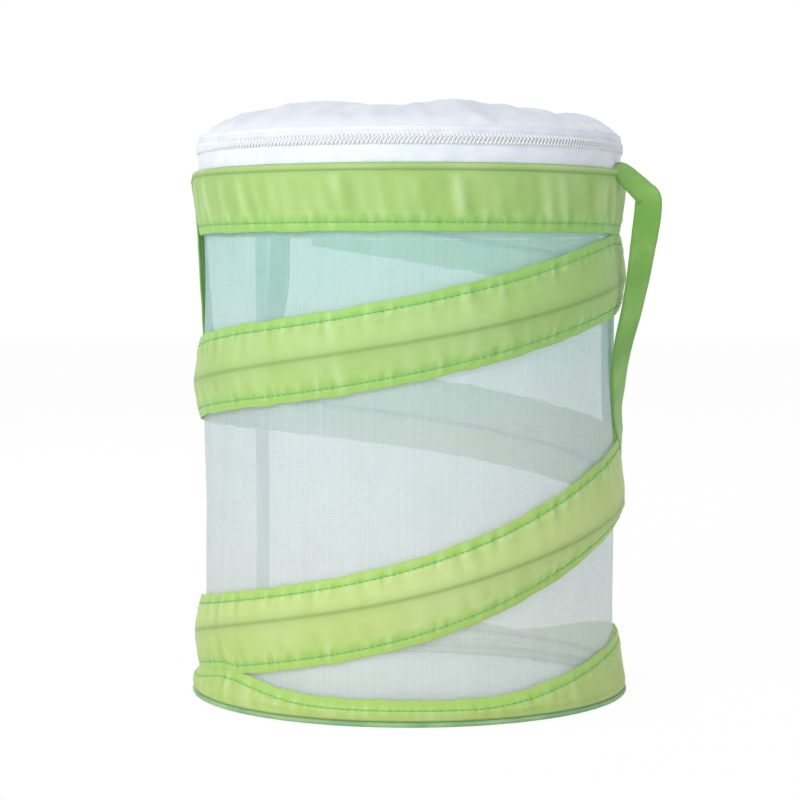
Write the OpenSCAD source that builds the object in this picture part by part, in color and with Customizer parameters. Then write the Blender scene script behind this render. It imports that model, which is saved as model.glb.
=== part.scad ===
// Foldable insect cage: a mesh cylinder held open by a spring-steel spiral, with a zip-around lid
// Millimetres. +Z is up, the origin is the centre of the floor's underside, and -Y is the front.
// Angles run anticlockwise from +X: right 0, back 90, left 180, front 270.

/* [Wall] */
// Outer radius of the mesh wall
wall_r = 95.5; // [75:0.5:130]
// Thickness of the mesh wall
wall_t = 0.6; // [0.4:0.1:1]
// Height of the top hoop above the ground
cage_h = 237.5; // [190:0.5:300]
// Width of the seam tape that closes the mesh into a tube
seam_w = 9; // [5:0.5:16]
// Thickness of the seam tape
seam_t = 0.5; // [0.3:0.1:1]

/* [Hoops] */
// Wire diameter of the two end hoops
hoop_d = 2.2; // [1.6:0.1:3]
// Length of the sleeve that joins a hoop's ends
ferrule_l = 14; // [8:1:24]
// Wall of the sleeve that joins a hoop's ends
ferrule_t = 0.4; // [0.3:0.1:0.8]
// Gap between the cut ends of a hoop, inside its sleeve
hoop_cut = 2; // [1:0.5:4]

/* [Spiral] */
// Wire diameter of the spiral
spiral_d = 1.8; // [1.2:0.1:2.4]
// Angle at which the spiral starts on the bottom hoop
spiral_from = -400; // [-440:10:-380]
// Angle at which the spiral ends under the top hoop
spiral_to = 560; // [540:10:600]
// Angle at which the spiral leaves the bottom band and starts to climb
climb_from = -200; // [-220:5:-180]
// Angle at which the spiral stops climbing, inside the top band
climb_to = 500; // [490:5:520]
// Rise of the closing turns, in millimetres per degree
creep = 0.04; // [0.02:0.005:0.05]
// How far the soft wall lets the middle of the spiral stand above an even climb
swell = 17; // [0:1:20]
// Length of the plastic tip on each end of the spiral
tip_l = 9; // [6:1:16]
// Wall of the plastic tip
tip_t = 0.4; // [0.3:0.1:0.8]

/* [Bands] */
// Thickness of the nylon bands
band_t = 0.6; // [0.4:0.1:1.2]
// Width of the spiral band above the wire
band_above = 20.5; // [12:0.5:26]
// Width of the spiral band below the wire
band_below = 16.5; // [10:0.5:22]
// Height of the top band below the top hoop
top_band_h = 26.5; // [18:0.5:36]
// Height of the bottom band's hem where it is lowest, on the left
hem_low = 9; // [8:0.5:14]
// Rise of the bottom band's hem towards the right, where the spiral leaves it
hem_rise = 18; // [10:0.5:24]

/* [Floor] */
// Thickness of the floor panel
floor_t = 0.8; // [0.5:0.1:2]
// Radial width of the binding round the floor's edge
binding_w = 2.2; // [1.4:0.1:4]
// Height of the binding round the floor's edge
binding_h = 2.6; // [1.6:0.1:5]

/* [Zip] */
// Thickness of the zip tapes
tape_t = 0.5; // [0.3:0.1:0.9]
// Height of the lower zip tape
lower_tape_h = 7.6; // [6:0.2:14]
// Height of the upper zip tape
upper_tape_h = 3; // [2:0.2:8]
// Height of one half of the coil chain
coil_h = 1.6; // [1.2:0.1:3]
// Thickness of the coil chain
coil_t = 1.3; // [0.8:0.1:2.4]
// Space between the two halves of the chain, in which the slider's wedge runs
chain_gap = 1; // [0.8:0.1:2]
// Thickness of the slider's wedge
wedge_t = 0.5; // [0.3:0.1:0.6]
// Length of the slider
slider_l = 9; // [6:0.5:14]
// Height of the slider
slider_h = 6.4; // [5:0.2:10]
// Thickness of the slider's plates
plate_t = 1; // [0.6:0.1:1.6]
// Diameter of the slider's bridge bar
bar_d = 1.2; // [0.8:0.1:2]
// Length of the pull tab
pull_l = 22; // [14:1:34]
// Height of the pull tab
pull_w = 3.2; // [2.6:0.2:4]
// Thickness of the pull tab
pull_t = 1.1; // [0.7:0.1:1.6]
// Arc of the lid's edge that is sewn shut as its hinge, in degrees
sewn_arc = 50; // [40:2:70]
// Angle from the middle of the back to the slider when the zip is closed
slider_park = 17; // [14:1:18]
// Length of a zip stop along the chain
stop_l = 3; // [2:0.5:5]

/* [Lid] */
// Rise of the puffed lid above its tape
lid_rise = 18.5; // [8:0.5:30]
// Thickness of the lid
lid_t = 0.8; // [0.5:0.1:1.5]
// Fullness of the lid's shoulder
lid_power = 5; // [2:0.5:8]

/* [Handles] */
// Width of the strap
strap_w = 12.5; // [8:0.5:18]
// Thickness of the strap
strap_t = 1.4; // [0.8:0.1:2]
// Length of the tab on which a handle is sewn, at its short side
tab_l = 2; // [1:0.5:4]
// Height of the tab above the top band's upper edge
tab_lift = 1.2; // [1:0.1:3]
// Distance between the sewn ends of a handle
handle_span = 66; // [50:1:90]
// Drop of the right handle below its seam
right_drop = 131; // [110:1:150]
// Drop of the left handle below its seam
left_drop = 105; // [90:1:130]
// How far the right handle's front strand stands out from its seam
right_bow = 12; // [8:0.5:18]
// Direction of the right handle
right_at = 0; // [-15:1:15]
// Direction of the left handle
left_at = 149; // [140:1:175]

/* [Fits] */
// Clearance between sewn or nested pieces
seam_gap = 0.3; // [0.2:0.05:0.5]
// Radial slack of a sleeve or tip on its wire
sleeve_gap = 0.08; // [0.05:0.01:0.2]
// Space in which a wire lies loose between wall and band
wire_slack = 1.6; // [1:0.1:3]
// Clearance of the running pieces of the zip
run_gap = 0.3; // [0.2:0.05:0.6]
// Clearance between a zip coil and the tape that it is sewn to
coil_gap = 0.1; // [0.05:0.05:0.3]

/* [Hidden] */
$fn = 96;

// Angular step of the swept pieces, shared so that their flats line up
step = 10;
// Ratio of a swept piece's radius at its stations to that at the middle of a flat
bulge = 1 / cos(step / 2);

// Sleeves, tips and the radii that the wires need
ferrule_d = hoop_d + 2 * (sleeve_gap + ferrule_t);
tip_d = spiral_d + 2 * (sleeve_gap + tip_t);
hoop_r = wall_r + wire_slack + hoop_d / 2;
wire_r = wall_r + wire_slack + spiral_d / 2;
sewn_r = (wall_r + seam_gap) * bulge;
hoop_cover_r = (hoop_r + ferrule_d / 2 + seam_gap) * bulge;
wire_cover_r = wire_r + tip_d / 2 + seam_gap;
outer_r = hoop_cover_r + band_t;
tape_r = wall_r + wire_slack;

// Heights
bottom_hoop_z = binding_h + seam_gap + ferrule_d / 2;
spiral_low_z = bottom_hoop_z + ferrule_d / 2 + seam_gap + tip_d / 2;
spiral_high_z = cage_h - ferrule_d / 2 - seam_gap - tip_d / 2;
top_hem_z = cage_h - top_band_h;
roof_z = cage_h + ferrule_d / 2 + seam_gap;
tape_z = roof_z + band_t + seam_gap;
lower_coil_z = tape_z + lower_tape_h;
chain_z = lower_coil_z + coil_h + chain_gap / 2;
upper_coil_z = chain_z + chain_gap / 2;
upper_tape_z = upper_coil_z + coil_h;
lid_z = upper_tape_z + upper_tape_h + seam_gap;

// Height of the spiral wire's centre: slow closing turns at both ends, an even climb between them,
// and a rise in the lower half where the wall is slack
knee = 40;
swell_at = 50;
swell_spread = 155;
function ramp(x) = (x + sqrt(x * x + knee * knee)) / 2;
climb_turns = ramp(spiral_to - climb_from) - ramp(spiral_to - climb_to)
  - ramp(spiral_from - climb_from) + ramp(spiral_from - climb_to);
climb_rate = (spiral_high_z - spiral_low_z - creep * (spiral_to - spiral_from)) / climb_turns;
function climb(t) = ramp(t - climb_from) - ramp(t - climb_to)
  - ramp(spiral_from - climb_from) + ramp(spiral_from - climb_to);
function wire_z(t) = spiral_low_z + creep * (t - spiral_from) + climb_rate * climb(t)
  + swell * exp(-pow((t - swell_at) / swell_spread, 2));

// Inner radius of a band where it stretches over the wire like a tent
tent_half = 3.2;
tent_up = (wire_cover_r - sewn_r) / (band_above - tent_half);
tent_down = (wire_cover_r - sewn_r) / (band_below - tent_half);
function tent(t, z) = let (d = z - wire_z(t))
  wire_cover_r - (d > 0 ? tent_up * max(0, d - tent_half) : tent_down * max(0, -d - tent_half));

// Height of the bottom band's hem
function hem_z(t) = hem_low + hem_rise * pow((1 + cos(t)) / 2, 2);

// Shared shapes

function polar(r, t, z) = [r * cos(t), r * sin(t), z];

// Solid of triangles through rings of points, closed into a loop or capped at both ends
module skin(rings, loop = false) {
  n = len(rings[0]);
  m = len(rings);
  sides = [
    for (i = [0 : m - (loop ? 1 : 2)], j = [0 : n - 1])
      let (a = i * n, b = (i + 1) % m * n, k = (j + 1) % n)
      each [[a + j, a + k, b + k], [a + j, b + k, b + j]]
  ];
  rungs = [for (j = [0 : n / 2 - 2]) each [[j, j + 1, n - 1 - j], [j + 1, n - 2 - j, n - 1 - j]]];
  start_cap = [for (f = rungs) [f[2], f[1], f[0]]];
  end_cap = [for (f = rungs) [for (v = f) v + (m - 1) * n]];
  points = [for (ring = rings) each ring];
  polyhedron(points, loop ? sides : concat(sides, start_cap, end_cap));
}

// Cross-section of a band at one angle: the outer face from its lowest point up, then the inner face down.
// A point of the inner face is a radius, a height and the slope in degrees at which the cloth lies there.
function band_ring(t, inner) = concat(
  [for (p = inner) polar(p[0] + band_t * cos(p[2]), t, p[1] + band_t * sin(p[2]))],
  [for (i = [len(inner) - 1 : -1 : 0]) polar(inner[i][0], t, inner[i][1])]
);

// Ring of rectangular section, from one angle to another
module ring_bar(r, t, z, h, from, to) {
  rotate([0, 0, from])
    rotate_extrude(angle = to - from)
      translate([r, z])
        square([t, h]);
}

// Arc of round wire in a level plane
module wire_arc(r, z, d, from, to) {
  rotate([0, 0, from])
    rotate_extrude(angle = to - from)
      translate([r, z])
        circle(d = d, $fn = 24);
}

function arc_deg(length, r) = length / r * 180 / PI;

// Hoop of wire whose cut ends meet inside a sleeve
module hoop(z, at) {
  half = arc_deg(hoop_cut / 2, hoop_r);
  wire_arc(hoop_r, z, hoop_d, at + half, at + 360 - half);
}

module hoop_ferrule(z, at) {
  half = arc_deg(ferrule_l / 2, hoop_r);
  rotate([0, 0, at - half])
    rotate_extrude(angle = 2 * half)
      translate([hoop_r, z])
        difference() {
          circle(d = ferrule_d, $fn = 24);
          circle(d = hoop_d + 2 * sleeve_gap, $fn = 24);
        }
}

// Base

bottom_joint_at = 100;
top_joint_at = 80;
floor_r = hoop_r + seam_gap;

module floor_panel() {
  color("whitesmoke") cylinder(r = floor_r, h = floor_t);
}

module floor_binding() {
  color("cadetblue")
    rotate_extrude()
      translate([floor_r + seam_gap, 0])
        square([binding_w, binding_h]);
}

module bottom_hoop() {
  color("dimgray") hoop(bottom_hoop_z, bottom_joint_at);
}

module bottom_hoop_ferrule() {
  color("silver") hoop_ferrule(bottom_hoop_z, bottom_joint_at);
}

// Sleeve over the bottom hoop and the spiral's first turn, drawn in to the mesh at its hem
bottom_rows = 8;
bottom_band_z = binding_h + seam_gap;
bottom_shoulder_z = bottom_hoop_z + ferrule_d / 2;
function bottom_taper(t, z) = let (f = (z - bottom_shoulder_z) / (hem_z(t) - bottom_shoulder_z))
  hoop_cover_r + (sewn_r - hoop_cover_r) * max(0, f);
function bottom_inner(t) = [
  for (i = [0 : bottom_rows])
    let (z = bottom_band_z + (hem_z(t) - bottom_band_z) * i / bottom_rows)
    [max(bottom_taper(t, z), tent(t < -40 ? t : t - 360, z)), z, 0]
];

module bottom_band() {
  color("yellowgreen")
    skin([for (t = [-180 : step : 170]) band_ring(t, bottom_inner(t))], loop = true);
}

// Spring-steel spiral, one unbroken wire
wire_sides = 6;
function wire_ring(t) = [
  for (i = [0 : wire_sides - 1])
    let (a = i * 360 / wire_sides)
    polar(wire_r + spiral_d / 2 * cos(a), t, wire_z(t) + spiral_d / 2 * sin(a))
];
wire_stations = [spiral_from : step : spiral_to];
wire_points = [for (t = wire_stations) polar(wire_r, t, wire_z(t))];
half_turn = 180 / step;
wire_gap = min([
  for (i = [0 : len(wire_points) - 1 - half_turn], j = [i + half_turn : len(wire_points) - 1])
    norm(wire_points[i] - wire_points[j])
]) - spiral_d;
echo(least_gap_of_spiral_to_itself = wire_gap);

module spiral_spring() {
  color("dimgray") skin([for (t = wire_stations) wire_ring(t)]);
}

// Plastic tip over a cut end of the spiral: closed past the end, open towards the wire
tip_cap = 1;
module spiral_tip(end, before) {
  along = (end - before) / norm(end - before);
  translate(end)
    rotate([0, acos(along[2]), atan2(along[1], along[0])])
      difference() {
        translate([0, 0, tip_cap + sleeve_gap - tip_l]) cylinder(d = tip_d, h = tip_l);
        translate([0, 0, -tip_l])
          cylinder(d = spiral_d + 2 * sleeve_gap, h = tip_l + sleeve_gap);
      }
}

module spiral_lower_tip() {
  color("black") spiral_tip(wire_points[0], wire_points[1]);
}

module spiral_upper_tip() {
  last = len(wire_points) - 1;
  color("black") spiral_tip(wire_points[last], wire_points[last - 1]);
}

// Nylon casing of the spiral, sewn to the mesh along both hems and lifted by the wire between them.
// It grows out of the bottom band's hem and runs in under the top band's hem.
band_from = -310;
band_to = 480;
band_fade = 130;
band_start_share = 0.55;
hem_gap = 0.4;
row_gap = 0.12;
band_rows = [-band_below, -band_below / 2, -tent_half, 0, tent_half, band_above / 2, band_above];
least_band = 10 * row_gap;
function band_share(t) = min(1, band_start_share + (1 - band_start_share) * (t - band_from) / band_fade);
band_limit_z = top_hem_z - hem_gap;
function band_low_z(t) = min(max(wire_z(t) - band_below, hem_z(t) + hem_gap), band_limit_z - least_band);
function band_top_z(t) =
  max(min(wire_z(t) + band_above * band_share(t), band_limit_z), band_low_z(t) + least_band);
function band_inner(t) = let (low = band_low_z(t), high = band_top_z(t), last = len(band_rows) - 1) [
  for (i = [0 : last])
    let (z = min(max(wire_z(t) + band_rows[i], low + i * row_gap), high - (last - i) * row_gap))
    [max(sewn_r, tent(t, z)), z, 0]
];

module spiral_band() {
  color("yellowgreen") skin([for (t = [band_from : step : band_to]) band_ring(t, band_inner(t))]);
}

wall_z = floor_t + seam_gap;
wall_top_z = cage_h - hoop_d / 2;
module mesh_wall() {
  color("aliceblue")
    difference() {
      translate([0, 0, wall_z]) cylinder(r = wall_r, h = wall_top_z - wall_z);
      translate([0, 0, wall_z - 1]) cylinder(r = wall_r - wall_t, h = wall_top_z - wall_z + 2);
    }
}

seam_at = 140;
module mesh_seam_tape() {
  r = wall_r - wall_t - seam_gap - seam_t;
  half = arc_deg(seam_w / 2, r);
  color("white") ring_bar(r, seam_t, wall_z, wall_top_z - wall_z, seam_at - half, seam_at + half);
}

// Top

module top_hoop() {
  color("dimgray") hoop(cage_h, top_joint_at);
}

module top_hoop_ferrule() {
  color("silver") hoop_ferrule(cage_h, top_joint_at);
}

// Sleeve over the top hoop: drawn in to the mesh at its lower hem, turned in over the hoop to the zip tape
top_rows = 10;
shoulder = 0.4;
function top_taper(f) = sewn_r + (hoop_cover_r - sewn_r) * (1 - pow(1 - f, 1.6));
function top_inner(t) = concat(
  [
    for (i = [0 : top_rows])
      let (f = i / top_rows, z = top_hem_z + top_band_h * f)
      [max(top_taper(f), tent(min(t, spiral_to), z)), z, 0]
  ],
  [[hoop_cover_r - shoulder, roof_z - shoulder, 45], [tape_r * bulge, roof_z, 90]]
);

module top_band() {
  color("yellowgreen")
    skin([for (t = [spiral_to - 360 + step : step : spiral_to]) band_ring(t, top_inner(t))], loop = true);
}

// Zip

coil_r = tape_r + tape_t + coil_gap;
lid_cut = sewn_arc / 2;
hinge_y = tape_r * cos(lid_cut);
cut_half = seam_gap;
chain_from = 90 + slider_park - arc_deg(slider_l / 2 + run_gap, coil_r);
chain_to = 450 - slider_park + arc_deg(slider_l / 2 + run_gap, coil_r);
stop_deg = arc_deg(stop_l, coil_r);
fold_from = 90 + lid_cut + arc_deg(cut_half, coil_r);
fold_to = 450 - lid_cut - arc_deg(cut_half, coil_r);
back_from = fold_to - 360 + arc_deg(2 * cut_half, coil_r);
back_to = fold_from - arc_deg(2 * cut_half, coil_r);

module zipper_lower_tape() {
  color("ghostwhite")
    rotate_extrude()
      translate([tape_r, tape_z])
        square([tape_t, lower_tape_h + coil_h]);
}

module zipper_lower_coil() {
  color("white") ring_bar(coil_r, coil_t, lower_coil_z, coil_h, chain_from, chain_to);
}

module zipper_upper_tape() {
  color("ghostwhite") ring_bar(tape_r, tape_t, upper_coil_z, coil_h + upper_tape_h, fold_from, fold_to);
}

module zipper_upper_coil() {
  color("white") ring_bar(coil_r, coil_t, upper_coil_z, coil_h, fold_from, fold_to);
}

module zipper_back_tape() {
  color("ghostwhite") ring_bar(tape_r, tape_t, upper_coil_z, coil_h + upper_tape_h, back_from, back_to);
}

module zipper_back_coil() {
  color("white") {
    ring_bar(coil_r, coil_t, upper_coil_z, coil_h, chain_from, back_to);
    ring_bar(coil_r, coil_t, upper_coil_z, coil_h, back_from, chain_to - 360);
  }
}

// Metal clip over both halves of the chain at one end of it
module zip_stop(from) {
  ring_bar(coil_r, coil_t, lower_coil_z, upper_tape_z - lower_coil_z, from, from + stop_deg);
}

module zipper_start_stop() {
  color("silver") zip_stop(chain_from - stop_deg);
}

module zipper_end_stop() {
  color("silver") zip_stop(chain_to - 360);
}

// Slider: two plates joined by a wedge that runs between the halves of the chain
plate_out_r = coil_r + coil_t + run_gap;
plate_in_r = tape_r - run_gap - plate_t;
slider_z = chain_z - slider_h / 2;
slider_at = 90 + slider_park;
module slider_body() {
  half = arc_deg(slider_l / 2, coil_r);
  third = half / 3;
  color("whitesmoke") {
    ring_bar(plate_out_r, plate_t, slider_z, slider_h, slider_at - half, slider_at + half);
    ring_bar(plate_in_r, plate_t, slider_z, slider_h, slider_at - half, slider_at + half);
    ring_bar(
      plate_in_r + plate_t / 2, plate_out_r - plate_in_r, chain_z - wedge_t / 2, wedge_t,
      slider_at - third, slider_at + third
    );
  }
}

// Bridge: two lugs on the outer plate that carry an upright bar for the pull tab
eye_d = bar_d + 2 * run_gap + 2 * pull_t;
bridge_r = plate_out_r + plate_t + run_gap + eye_d / 2;
lug_gap = pull_w / 2 + run_gap;
lug_h = slider_h / 2 - lug_gap;
lug_w = bar_d + 1.2;
module slider_bridge() {
  color("whitesmoke")
    rotate([0, 0, slider_at]) {
      for (low = [lug_gap, -lug_gap - lug_h])
        translate([plate_out_r + plate_t, -lug_w / 2, chain_z + low])
          cube([bridge_r + lug_w / 2 - plate_out_r - plate_t, lug_w, lug_h]);
      translate([bridge_r, 0, chain_z - lug_gap - lug_h / 2]) cylinder(d = bar_d, h = 2 * lug_gap + lug_h);
    }
}

// Pull tab: an eye round the bridge bar and a flat tongue with a grip hole
grip_hole_d = 1.6;
module pull_tab() {
  color("whitesmoke")
    translate([0, 0, chain_z - pull_w / 2])
      rotate([0, 0, slider_at])
        translate([bridge_r, 0, 0])
          difference() {
            union() {
              cylinder(d = eye_d, h = pull_w);
              translate([-pull_t / 2, -pull_l, 0]) cube([pull_t, pull_l, pull_w]);
            }
            translate([0, 0, -1]) cylinder(d = bar_d + 2 * run_gap, h = pull_w + 2);
            translate([-pull_t, grip_hole_d * 1.5 - pull_l, pull_w / 2])
              rotate([0, 90, 0])
                cylinder(d = grip_hole_d, h = 2 * pull_t);
          }
}

// Lid

lid_r = tape_r + tape_t;
lid_steps = 14;
function lid_height(f) = lid_rise * (1 - pow(f, lid_power));
function lid_point(f, inset) = [(lid_r - inset) * f, lid_z + lid_height(f) - inset];

module lid_shell() {
  shares = [for (i = [0 : lid_steps]) sin(90 * i / lid_steps)];
  rotate_extrude()
    polygon(concat(
      [for (f = shares) lid_point(f, 0)],
      [[lid_r - lid_t, lid_z]],
      [for (i = [lid_steps - 1 : -1 : 0]) lid_point(shares[i], lid_t)]
    ));
}

// Half-space behind the fold line, moved back by a margin
module behind_fold(margin) {
  translate([-2 * lid_r, hinge_y + margin, lid_z - lid_rise])
    cube([4 * lid_r, lid_r, 3 * lid_rise]);
}

module lid_panel() {
  color("ghostwhite")
    difference() {
      lid_shell();
      behind_fold(-cut_half);
    }
}

module lid_back_panel() {
  color("ghostwhite")
    intersection() {
      lid_shell();
      behind_fold(cut_half);
    }
}

// Handles

// The hinge line of a handle runs through its sewn ends, just above the top band's upper edge
half_span = handle_span / 2;
pivot_z = tape_z + tab_lift + strap_t / 2;
tab_gap = strap_t / 2 + seam_gap;
tab_in_r = tape_r + tape_t + seam_gap;
pivot_out = sqrt(pow(tab_in_r, 2) - pow(half_span - strap_w / 2, 2)) + tab_l + tab_gap;

// Distances out from the hinge line at which a strap clears the bands: beside its ends, and midway
clear_r = outer_r + strap_t / 2 + 2 * seam_gap;
flank_out = sqrt(pow(clear_r, 2) - pow(half_span, 2)) - pivot_out;
middle_out = clear_r - pivot_out;

// Strap routes: along the hinge line, out from it, down from it, and twist out of the wall's plane
seam_slope = 48;
end_in = 0.25;
end_out = -end_in * cos(seam_slope);
end_down = -end_in * sin(seam_slope);
right_route = [
  [half_span, end_out, end_down, 0],
  [half_span, 2, 2.2, -6],
  [half_span + 1, 0.5 * right_bow, 6.5, -42],
  [half_span + 2, 0.9 * right_bow, 14, -84],
  [half_span + 2, right_bow, 29, -84],
  [half_span - 3, right_bow - 3, 53, -66],
  [half_span - 10, right_bow - 4.5, 79, -42],
  [half_span - 20, middle_out + 0.9, right_drop - 27, -20],
  [half_span - 34, middle_out + 1, right_drop - 7, -6],
  [18 - half_span, middle_out + 0.4, right_drop, 0],
  [1 - half_span, flank_out + 1.6, right_drop - 12, 0],
  [-half_span - 2, flank_out + 0.4, right_drop - 36, 0],
  [-half_span - 2, flank_out + 0.4, 60, 0],
  [-half_span - 1, flank_out + 0.8, 25, 0],
  [-half_span, flank_out + 2, 7.5, 0],
  [-half_span, 2, 2.2, 0],
  [-half_span, end_out, end_down, 0]
];
left_route = [
  [-half_span, end_out, end_down, 0],
  [-half_span, 2, 2.2, 0],
  [-half_span, flank_out + 2, 7.5, 0],
  [-half_span, flank_out + 0.8, 25, 0],
  [-half_span, flank_out + 0.4, 60, 0],
  [-half_span + 1, flank_out + 0.8, left_drop - 22, 0],
  [-half_span + 10, flank_out + 3.8, left_drop - 5, 0],
  [0, middle_out + 0.6, left_drop, 0],
  [half_span - 10, flank_out + 3.8, left_drop - 5, 0],
  [half_span - 1, flank_out + 0.8, left_drop - 22, 0],
  [half_span, flank_out + 0.4, 60, 0],
  [half_span, flank_out + 0.8, 25, 0],
  [half_span, flank_out + 2, 7.5, 0],
  [half_span, 2, 2.2, 0],
  [half_span, end_out, end_down, 0]
];

// Smooth curve through a route's points
route_parts = 3;
function curve(p, i, u) = let (
    last = len(p) - 1,
    a = p[max(0, i - 1)],
    b = p[i],
    c = p[min(last, i + 1)],
    d = p[min(last, i + 2)]
  ) ((2 * b) + (c - a) * u + (2 * a - 5 * b + 4 * c - d) * u * u + (3 * b - a - 3 * c + d) * u * u * u) / 2;
function smooth(p) = concat(
  [for (i = [0 : len(p) - 2], k = [0 : route_parts - 1]) curve(p, i, k / route_parts)],
  [p[len(p) - 1]]
);
function unit(v) = v / norm(v);

// Cross-section of the strap: its face looks up at the seam and out from the wall below it at twist 0,
// and it stands edge to the wall at twist 90
seam_turn = 3;
function strap_ring(p, along, twist) = let (
    face = unit(unit([p[0], p[1], 0]) * (pivot_z - p[2]) + [0, 0, seam_turn]),
    flat_across = unit(cross(along, face)),
    lifted = unit(cross(flat_across, along)),
    across = flat_across * cos(twist) + lifted * sin(twist),
    normal = cross(across, along)
  ) [
    for (corner = [[-1, -1], [1, -1], [1, 1], [-1, 1]])
      p + across * corner[0] * strap_w / 2 + normal * corner[1] * strap_t / 2
  ];

module strap(route) {
  path = smooth(route);
  places = [for (p = path) [p[0], pivot_out + p[1], pivot_z - p[2]]];
  last = len(places) - 1;
  start = [0, cos(seam_slope), -sin(seam_slope)];
  rings = [
    for (i = [0 : last])
      let (along = i == 0 ? start : i == last ? -start : unit(places[i + 1] - places[i - 1]))
      strap_ring(places[i], along, path[i][3])
  ];
  skin(rings);
}

// Tabs sewn into the seam above the top band, one for each end of a handle
module handle_tabs() {
  for (side = [-1, 1])
    difference() {
      translate([side * half_span - strap_w / 2, 0, pivot_z - strap_t / 2])
        cube([strap_w, pivot_out - tab_gap, strap_t]);
      translate([0, 0, pivot_z - strap_t]) cylinder(r = tab_in_r, h = 2 * strap_t, $fn = 360);
    }
}

module right_handle() {
  color("olivedrab") rotate([0, 0, right_at - 90]) strap(right_route);
}

module right_handle_tabs() {
  color("olivedrab") rotate([0, 0, right_at - 90]) handle_tabs();
}

module left_handle() {
  color("olivedrab") rotate([0, 0, left_at - 90]) strap(left_route);
}

module left_handle_tabs() {
  color("olivedrab") rotate([0, 0, left_at - 90]) handle_tabs();
}

floor_panel();
floor_binding();
bottom_hoop();
bottom_hoop_ferrule();
bottom_band();
spiral_spring();
spiral_lower_tip();
spiral_upper_tip();
spiral_band();
mesh_wall();
mesh_seam_tape();
top_hoop();
top_hoop_ferrule();
top_band();
zipper_lower_tape();
zipper_lower_coil();
zipper_upper_tape();
zipper_upper_coil();
zipper_back_tape();
zipper_back_coil();
zipper_start_stop();
zipper_end_stop();
slider_body();
slider_bridge();
pull_tab();
lid_panel();
lid_back_panel();
right_handle();
right_handle_tabs();
left_handle();
left_handle_tabs();
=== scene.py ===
import math

import bpy
import numpy as np
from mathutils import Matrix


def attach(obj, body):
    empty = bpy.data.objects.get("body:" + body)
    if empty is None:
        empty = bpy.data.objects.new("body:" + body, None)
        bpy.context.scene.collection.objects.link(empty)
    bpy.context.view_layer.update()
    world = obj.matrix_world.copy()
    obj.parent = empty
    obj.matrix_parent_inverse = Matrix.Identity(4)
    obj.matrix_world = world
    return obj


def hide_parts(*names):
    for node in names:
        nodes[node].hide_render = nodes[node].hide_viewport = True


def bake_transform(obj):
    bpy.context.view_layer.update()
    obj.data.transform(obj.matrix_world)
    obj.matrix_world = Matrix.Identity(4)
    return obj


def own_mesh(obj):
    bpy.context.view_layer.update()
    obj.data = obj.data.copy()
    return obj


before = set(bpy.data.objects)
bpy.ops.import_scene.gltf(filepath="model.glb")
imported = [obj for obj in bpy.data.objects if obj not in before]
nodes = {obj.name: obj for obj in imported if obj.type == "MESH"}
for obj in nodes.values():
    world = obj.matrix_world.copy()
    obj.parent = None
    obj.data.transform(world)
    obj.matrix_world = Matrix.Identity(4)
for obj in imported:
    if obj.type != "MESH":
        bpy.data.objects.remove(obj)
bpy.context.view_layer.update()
scene = bpy.context.scene
scene.view_settings.view_transform = "Standard"
mm = 0.001  # every size below is in millimetres and goes into the meshes in metres


# camera, light and floor come first: they never touch the cage

shot = {"place": (-0.0044, -1.08, 0.191), "aimZ": 0.1345, "lens": 104.5, "sensor": 36}
camData = bpy.data.cameras.new("shotCamera")
camData.lens, camData.sensor_width, camData.clip_start = shot["lens"], shot["sensor"], 0.05
camera = bpy.data.objects.new("shotCamera", camData)
scene.collection.objects.link(camera)
camera.location = shot["place"]
camera.rotation_euler = (math.pi / 2 - math.atan2(shot["place"][2] - shot["aimZ"], -shot["place"][1]), 0, 0)
scene.camera = camera


def rgb(r, g, b):
    # a colour as a screen shows it, 0 to 255, to the linear values that shaders use
    c = np.array([r, g, b]) / 255
    c = np.where(c <= 0.04045, c / 12.92, ((c + 0.055) / 1.055) ** 2.4)
    return (*c.tolist(), 1.0)


def softbox(name, place, aim, size, watts, tint=(1, 1, 1)):
    # a round lamp at a place, turned to face its aim
    data = bpy.data.lights.new(name, "AREA")
    data.shape, data.size, data.energy, data.color = "DISK", size, watts, tint
    lamp = bpy.data.objects.new(name, data)
    scene.collection.objects.link(lamp)
    lamp.location = place
    way = np.array(place) - np.array(aim)
    flat = math.hypot(way[0], way[1])
    lamp.rotation_euler = (math.atan2(flat, way[2]), 0, math.atan2(way[0], -way[1]))


studio = {"sky": 0.65, "key": 18.0, "fill": 0.5, "back": 4.0}
softbox("keyLight", (-0.9, -1.35, 1.1), (0, 0, 0.14), 1.1, studio["key"], (1, 0.99, 0.97))
softbox("fillLight", (1.3, -0.9, 0.7), (0, 0, 0.14), 1.0, studio["fill"], (0.97, 0.99, 1))
softbox("backLight", (-0.4, 1.45, 1.1), (0, 0, 0.14), 1.0, studio["back"])

world = bpy.data.worlds.new("studioSky")
scene.world = world
world.use_nodes = True
skyTree = world.node_tree
skyTree.nodes.clear()


def whiteRays(tree):
    # 1 for the rays that should see plain white: the camera's, mirrored and passed-through ones
    path = tree.nodes.new("ShaderNodeLightPath")
    total = tree.nodes.new("ShaderNodeMath")
    total.operation = "MAXIMUM"
    tree.links.new(path.outputs["Is Camera Ray"], total.inputs[0])
    other = tree.nodes.new("ShaderNodeMath")
    other.operation = "MAXIMUM"
    tree.links.new(path.outputs["Is Glossy Ray"], other.inputs[0])
    tree.links.new(path.outputs["Is Transmission Ray"], other.inputs[1])
    tree.links.new(other.outputs[0], total.inputs[1])
    return total.outputs[0]


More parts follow.
